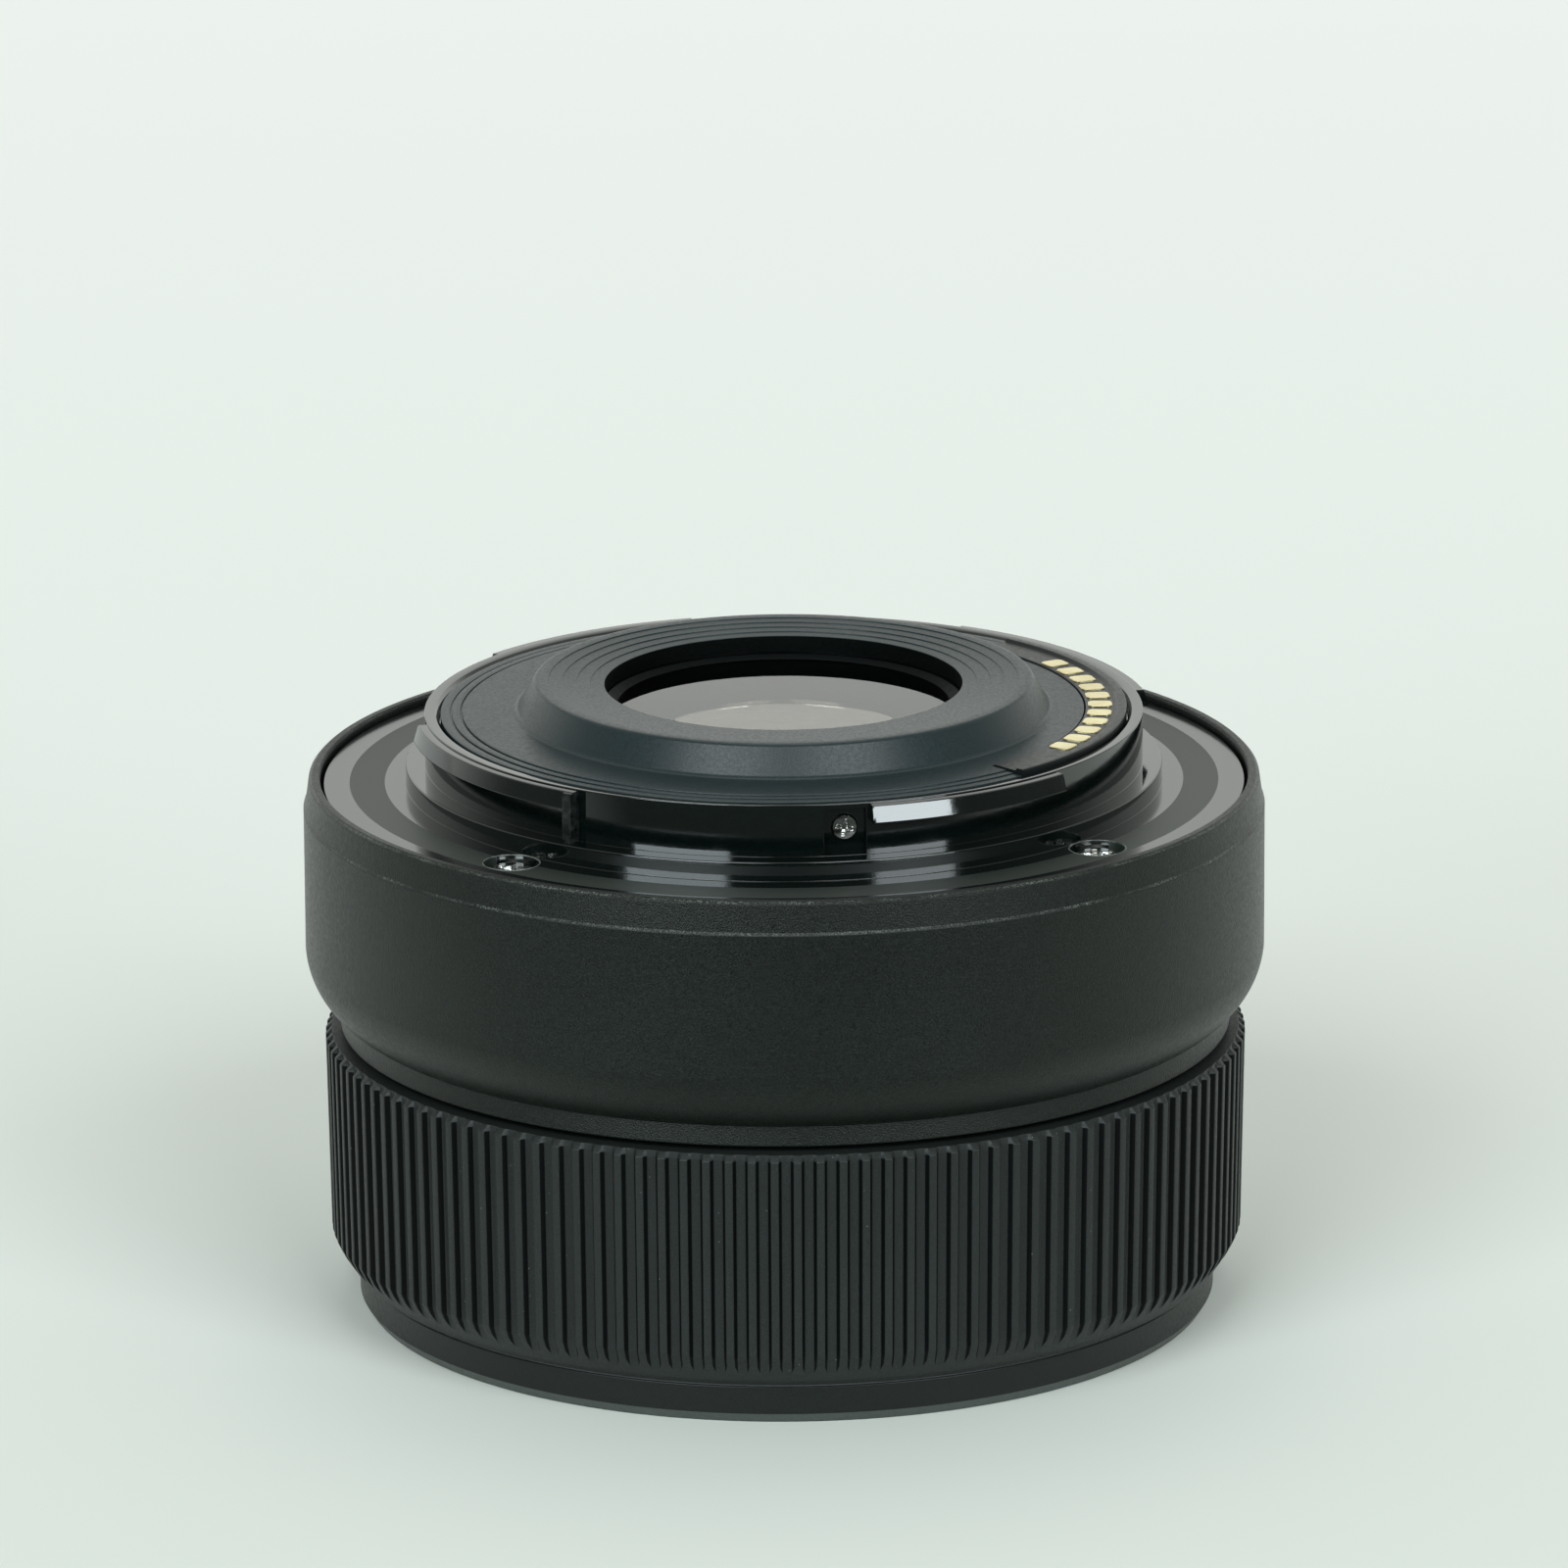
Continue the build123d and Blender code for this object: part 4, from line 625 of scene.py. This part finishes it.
def mount_body():
    """The gloss plate and its bayonet wall, with four screw wells and two side pockets cut out."""
    radius, foot, top = PLATE_RADIUS, PLATE_FOOT, PLATE_TOP
    wall, bore = BAYONET_RADIUS, radius - 8.45
    lip, lip_foot, lip_top = bore - 0.85, foot + 4.6, foot + 6
    shape = turned(rounded([(bore, foot, 0.05), (radius, foot, 0.05), (radius, FLANGE, 0.06),
                            (LEDGE_RADIUS, FLANGE, 0.05), (LEDGE_RADIUS, LEDGE, 0.12), (wall, LEDGE, 0.04),
                            (wall, top, 0.08), (wall - 0.8, top - 0.06, 0.06), (bore, top - 0.3, 0.06),
                            (bore, lip_top, 0.05), (lip, lip_top, 0.05), (lip, lip_foot, 0.05),
                            (bore, lip_foot, 0.05)]))
    well_floor, well_top, chamfer = FLANGE - 0.8, FLANGE + 0.11, 0.17
    well = turned([(0, well_floor), (WELL_RADIUS, well_floor), (WELL_RADIUS, well_top - chamfer),
                   (WELL_RADIUS + chamfer, well_top), (0, well_top)], segments=WELL_SEGMENTS)
    cuts = [moved(well, x, y) for x, y in MOUNT_SCREWS]
    half, outside = 1.5, BAYONET_RADIUS + 1.2
    sides = ((SIDE_POCKET_FLOOR, -half), (outside, -half), (outside, half), (SIDE_POCKET_FLOOR, half))
    box_faces = [(3, 2, 1, 0), (4, 5, 6, 7), (0, 1, 5, 4), (1, 2, 6, 5), (2, 3, 7, 6), (3, 0, 4, 7)]
    for azimuth in SIDE_SCREW_AZIMUTHS:
        c, s = on_circle(1, azimuth)
        corners = [(r * c - t * s, r * s + t * c, z) for z in (LEDGE + 0.03, foot + 6.55) for r, t in sides]
        cuts.append((corners, box_faces))
    plate = mesh_piece("mount_body", shape, "mount_plastic", "mount_plate")
    weighted(carved(plate, cuts))


def mount_lugs():
    """The bayonet lugs, each from its first azimuth over its span."""
    inside = BAYONET_RADIUS - 0.2
    outline = rounded([(inside, LUG_FOOT, 0), (LUG_RADIUS, LUG_FOOT, 0.08), (LUG_RADIUS - 0.36, LUG_TOP, 0.1),
                       (inside, LUG_TOP, 0)])
    for number, (start, span) in enumerate(LUGS):
        lathe(f"mount_lug_{number + 1}", outline, "mount_plastic", "mount_plate", start=start, span=span)


def well_rims():
    """A bright ring round each mount screw's well: painted highlight, standing in for the glint of the well's
    chamfer.
    """
    middle, height, thick = WELL_RADIUS + 0.08, FLANGE - 0.01, 0.05
    rim = turned([(middle + thick * c, height + thick * s) for c, s in circle(8)], segments=WELL_SEGMENTS)
    for number, (x, y) in enumerate(MOUNT_SCREWS):
        weighted(mesh_piece(f"well_rim_{number + 1}", moved(rim, x, y), "mount_plastic", "mount_plate",
                            skin="painted_glint_ring"))


def mount_stop():
    """The small stop that the camera's mount turns against."""
    inside, outside = BAYONET_RADIUS - 0.2, LUG_RADIUS - 0.02
    foot, top = LEDGE - 0.15, LUG_TOP - 0.05
    outline = rounded([(inside, foot, 0), (outside, foot, 0), (outside, top, 0.15), (inside, top, 0)])
    lathe("mount_stop", outline, "mount_plastic", "mount_plate", skin="scuffed_plastic", start=-35.5,
          span=1.6, segments=1440)


mount_body()
mount_lugs()
well_rims()
mount_stop()

# ---------------------------------------------------------------- rear baffle, glass and contacts


def baffle():
    """The light baffle: a plate and a stepped hump round the glass, cut away for the contact block."""
    radius, foot, top = box_mm("rear_baffle")
    seam, plate, deck = radius - 3.1, foot + 0.9, foot + 0.8
    hump, mouth, tread, drop = 18.1, 13.0, 1.02, 0.08
    hollow = top - 1.536
    corners = [(mouth, hollow, 0.05), (hump - 0.9, hollow, 0.2), (hump + 0.4, foot, 0.1), (seam, foot, 0),
               (seam, plate, 0), (hump + 1.3, plate, 0.5), (hump, top, 0.4)]
    for step in range(5):
        outer, height = hump - tread * step, top - drop * step
        if step:
            corners.append((outer, height, 0.06))
        corners.append((outer - tread, height - 0.016, 0.06))
    shape = turned(rounded(corners))
    weighted(mesh_piece("baffle_hump", shape, "baffle_plastic", "rear_baffle", second="ground_edge",
                        marks=marked(shape, lambda r, z: r < mouth + 0.01)))
    groove, bead = deck - 0.1, deck + 0.05
    corners = [(seam, foot, 0), (radius, foot, 0.05), (radius, deck, 0.06), (radius - 0.68, deck, 0.04),
               (radius - 0.68, groove, 0.03), (radius - 0.83, groove, 0.03), (radius - 0.83, bead, 0.05),
               (radius - 1.43, bead, 0.05), (radius - 1.43, groove, 0.03), (radius - 1.58, groove, 0.03),
               (radius - 1.58, plate, 0.08), (seam, plate, 0)]
    lathe("baffle_plate", rounded(corners, steps=3), "baffle_plastic", "rear_baffle", start=137.3, span=265.4)


def cap(height, curve, reach, steps=10):
    """Points of a sphere from the axis out to a reach; a minus radius of curve bulges up."""
    radii = [reach * step / steps for step in range(steps + 1)]
    return [(r, height + curve - math.copysign(math.sqrt(curve**2 - r**2), curve)) for r in radii]


def rear_glass():
    """The last lens: polished faces and blackened ground edges."""
    radius, foot, top = box_mm("lens_9")
    front_reach, rear_reach = 7.8, 12.05
    front, rear = cap(foot, 1000.0, front_reach), cap(top, -600.0, rear_reach)
    edge_foot, edge_top = front[-1][1], rear[-1][1] - 1.05
    shape = turned(front + [(radius, edge_foot), (radius, edge_top), (rear_reach, edge_top)] + rear[::-1])
    clear_front = marked(shape, lambda r, z: r < front_reach + 0.001 and z < foot + 1)
    clear_rear = marked(shape, lambda r, z: r < rear_reach + 0.001 and z > edge_top + 0.9)
    ground = [not (first or second) for first, second in zip(clear_front, clear_rear)]
    mesh_piece("rear_lens", shape, "glass", "lens_9", skin="rear_glass", second="ground_edge", marks=ground)


def contact_block():
    """The block that carries the contacts, with a raised lip along its outer edge."""
    low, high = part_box("contact_block")
    foot, top, radius = low[2] / MM, high[2] / MM - 0.2, high[0] / MM
    inside, step, ledge, lip = radius - 2.98, radius - 0.85, foot + 1.6, top + 0.2
    outline = rounded([(inside, foot, 0.1), (step, foot, 0.05), (step, ledge, 0), (radius, ledge, 0.1),
                       (radius, lip, 0.1), (radius - 0.6, lip, 0.1), (radius - 0.8, top, 0.1),
                       (inside, top, 0.12)])
    lathe("contact_carrier", outline, "contact_plastic", "contact_block", start=43.0, span=94.0)


def contacts():
    """Eleven gold pads with round corners and pillowed tops."""
    _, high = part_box("contact_pads")
    count, pitch = 11, 5.9
    length, width, corner, around = 1.75, 1.6, 0.42, 32
    middle, top = high[0] / MM - length / 2, high[2] / MM
    pad = []
    for inset, height in ((0.0, -0.1), (0.0, -0.035), (0.03, -0.008), (0.09, 0.0)):
        for c, s in circle(around):
            x = math.copysign(1, c) * (length / 2 - corner) + (corner - inset) * c
            y = math.copysign(1, s) * (width / 2 - corner) + (corner - inset) * s
            pad.append((middle + x, y, top + height))
    faces = bands(4, around) + [tuple(range(3 * around, 4 * around)), tuple(reversed(range(around)))]
    for number in range(count):
        turn = math.radians(pitch * (number - (count - 1) / 2))
        c, s = math.cos(turn), math.sin(turn)
        points = [(x * c - y * s, x * s + y * c, z) for x, y, z in pad]
        weighted(mesh_piece(f"contact_{number + 1}", (points, faces), "contact_gold", "contact_pads"))


baffle()
rear_glass()
contact_block()
contacts()

# ---------------------------------------------------------------- screws


def head_height(r, x, y, radius, height, dome):
    """How high a cross-recessed head stands at a distance r from its middle; x and y follow the cross."""
    arm, half_slot, depth = radius * 0.62, radius * 0.13, height * 0.75
    edge = 1 - eased((r - radius * 0.88) / (radius * 0.12))
    crown = height * (0.62 + dome * (1 - (r / radius) ** 2)) * (0.45 + 0.55 * edge)
    long, short = max(abs(x), abs(y)), min(abs(x), abs(y))
    cross = eased((half_slot - short) / (radius * 0.06) + 0.5) * eased((arm - long) / (radius * 0.2) + 0.5)
    pit = eased((radius * 0.26 - r) / (radius * 0.1) + 0.5)
    return crown - depth * max(cross * (0.5 + 0.5 * eased(1 - long / arm)), pit)


def screw_head(name, node, centre, outward, radius, height, dome, turn):
    """A domed head with a cross recess turned by some degrees, as a polar mesh."""
    around, rings, skirt = 96, 26, -0.25
    outward = Vector(outward).normalized()
    across = outward.orthogonal().normalized()
    along = outward.cross(across)
    turn_c, turn_s = math.cos(math.radians(turn)), math.sin(math.radians(turn))
    points = []
    for ring in range(-1, rings):
        r = radius * (1 - max(ring, 0) / rings)
        for c, s in circle(around):
            x, y = r * c, r * s
            z = skirt
            if ring >= 0:
                z = head_height(r, x * turn_c + y * turn_s, -x * turn_s + y * turn_c, radius, height, dome)
            points.append(tuple(Vector(centre) + across * x + along * y + outward * z))
    faces = bands(rings + 1, around) + [tuple(range(rings * around, (rings + 1) * around))]
    mesh_piece(name, (points, faces), "screw_steel", node)


def screws():
    """The four mount screws and the two screws in the sides of the bayonet."""
    _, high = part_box("mount_screws")
    height = 0.6
    for number, (x, y) in enumerate(MOUNT_SCREWS):
        screw_head(f"mount_screw_{number + 1}", "mount_screws", (x, y, high[2] / MM - height), (0, 0, 1),
                   radius=1.7, height=height, dome=0.05, turn=20 + 35 * number)
    low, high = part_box("side_screws")
    level = (low[2] + high[2]) / 2 / MM
    for number, azimuth in enumerate(SIDE_SCREW_AZIMUTHS):
        screw_head(f"side_screw_{number + 1}", "side_screws", (*on_circle(SIDE_POCKET_FLOOR, azimuth), level),
                   (*on_circle(1, azimuth), 0), radius=0.95, height=0.4, dome=0.25, turn=33)


screws()

# ---------------------------------------------------------------- floor, light, camera

FLOOR_NEAR, FLOOR_FAR, ROOM = (220, 225, 218), (243, 244, 240), (241, 244, 239)
FRONT_DOME, BACK_DOME, GLOW = 0.14, 0.6, 0.94
LAMP_DISTANCE = 5.0
# The focal length in millimetres, the place in metres, and the angles in degrees.
CAMERA_LENS, CAMERA_PLACE = 256.83, (0, -0.78398, 0.25957)
CAMERA_DOWN, CAMERA_ROLL = 15.754, -0.3165


def floor():
    """A pale floor, lighter towards the back; glossy rays see it fall off to a dark studio in front."""
    half = 6.0 / MM
    plane = mesh_object("floor", ([(-half, -half, 0), (half, -half, 0), (half, half, 0), (-half, half, 0)],
                                  [(0, 1, 2, 3)]))
    made = Nodes(bpy.data.materials.new("floor"))
    _, depth, _ = made.split()
    seen = made.mix(made.spread(depth, -0.06, 0.46), FLOOR_NEAR, FLOOR_FAR)
    mirrored = made.mix(1.0, seen, made.spread(depth, -0.12, -0.03, 0.11, 1.0), "MULTIPLY")
    rays = made.add("ShaderNodeLightPath").outputs
    made.feed(made.shader, Base_Color=made.mix(rays["Is Glossy Ray"], seen, mirrored), Roughness=0.9,
              Specular_IOR_Level=0.0)
    plane.data.materials.append(made.owner)


def room():
    """The world: a pale glow low at the back, a dim dome above and less light from the front."""
    world = bpy.data.worlds.new("world")
    bpy.context.scene.world = world
    made = Nodes(world, shader="Background", place="Generated")
    _, back, up = made.split()
    dome = made.product(made.spread(up, 0.0, 0.7, 0.25, 1.0, "SMOOTHSTEP"),
                        made.spread(back, -0.9, 0.5, FRONT_DOME, BACK_DOME, "SMOOTHSTEP"))
    glow = made.product(made.spread(up, 0.28, 0.46, GLOW, 0.0, "SMOOTHSTEP"),
                        made.spread(back, 0.0, 0.7, 0.0, 1.0, "SMOOTHSTEP"))
    rays = made.add("ShaderNodeLightPath").outputs
    seen = made.spread(rays["Is Camera Ray"], 0.0, 1.0, made.math("ADD", dome, glow), 1.0)
    made.feed(made.shader, Color=ROOM, Strength=seen)


def softbox(name, azimuth, elevation, wide, tall, radiance, tint):
    """A lamp far off at an azimuth from the viewer, as wide and tall as the angles say."""
    rise = math.radians(elevation)
    x, y = on_circle(1, azimuth)
    place = Vector((x * math.cos(rise), y * math.cos(rise), math.sin(rise))) * LAMP_DISTANCE
    light = bpy.data.lights.new(name, "AREA")
    light.shape = "RECTANGLE"
    light.size = 2 * LAMP_DISTANCE * math.tan(math.radians(wide / 2)) * math.cos(rise)
    light.size_y = 2 * LAMP_DISTANCE * math.tan(math.radians(tall / 2))
    light.energy = radiance * math.pi * light.size * light.size_y
    light.color = tint
    lamp = bpy.data.objects.new(name, light)
    lamp.location = place
    lamp.rotation_mode = "QUATERNION"
    lamp.rotation_quaternion = (-place).to_track_quat("-Z", "Y")
    bpy.context.scene.collection.objects.link(lamp)


def camera():
    """A long lens at the photograph's viewing angle."""
    lens = bpy.data.cameras.new("camera")
    lens.sensor_width = 36.0
    lens.lens = CAMERA_LENS
    lens.clip_start = 0.01
    lens.clip_end = 50
    made = bpy.data.objects.new("camera", lens)
    bpy.context.scene.collection.objects.link(made)
    made.matrix_world = (Matrix.Translation(CAMERA_PLACE)
                         @ Matrix.Rotation(math.radians(90 - CAMERA_DOWN), 4, "X")
                         @ Matrix.Rotation(math.radians(CAMERA_ROLL), 4, "Z"))
    bpy.context.scene.camera = made


floor()
room()
softbox("left_window", azimuth=-33, elevation=16, wide=31, tall=11, radiance=9.5, tint=(0.84, 0.96, 1.0))
softbox("right_window", azimuth=40, elevation=16, wide=25, tall=11, radiance=9.0, tint=(0.88, 0.97, 1.0))
softbox("left_box", azimuth=-28, elevation=39, wide=42, tall=24, radiance=5.4, tint=(0.91, 0.97, 1.0))
softbox("right_box", azimuth=30, elevation=39, wide=40, tall=24, radiance=5.0, tint=(0.93, 0.98, 1.0))
softbox("top_box", azimuth=180, elevation=66, wide=50, tall=36, radiance=1.35, tint=(0.97, 0.99, 0.97))
camera()
bpy.context.scene.view_settings.view_transform = "Standard"
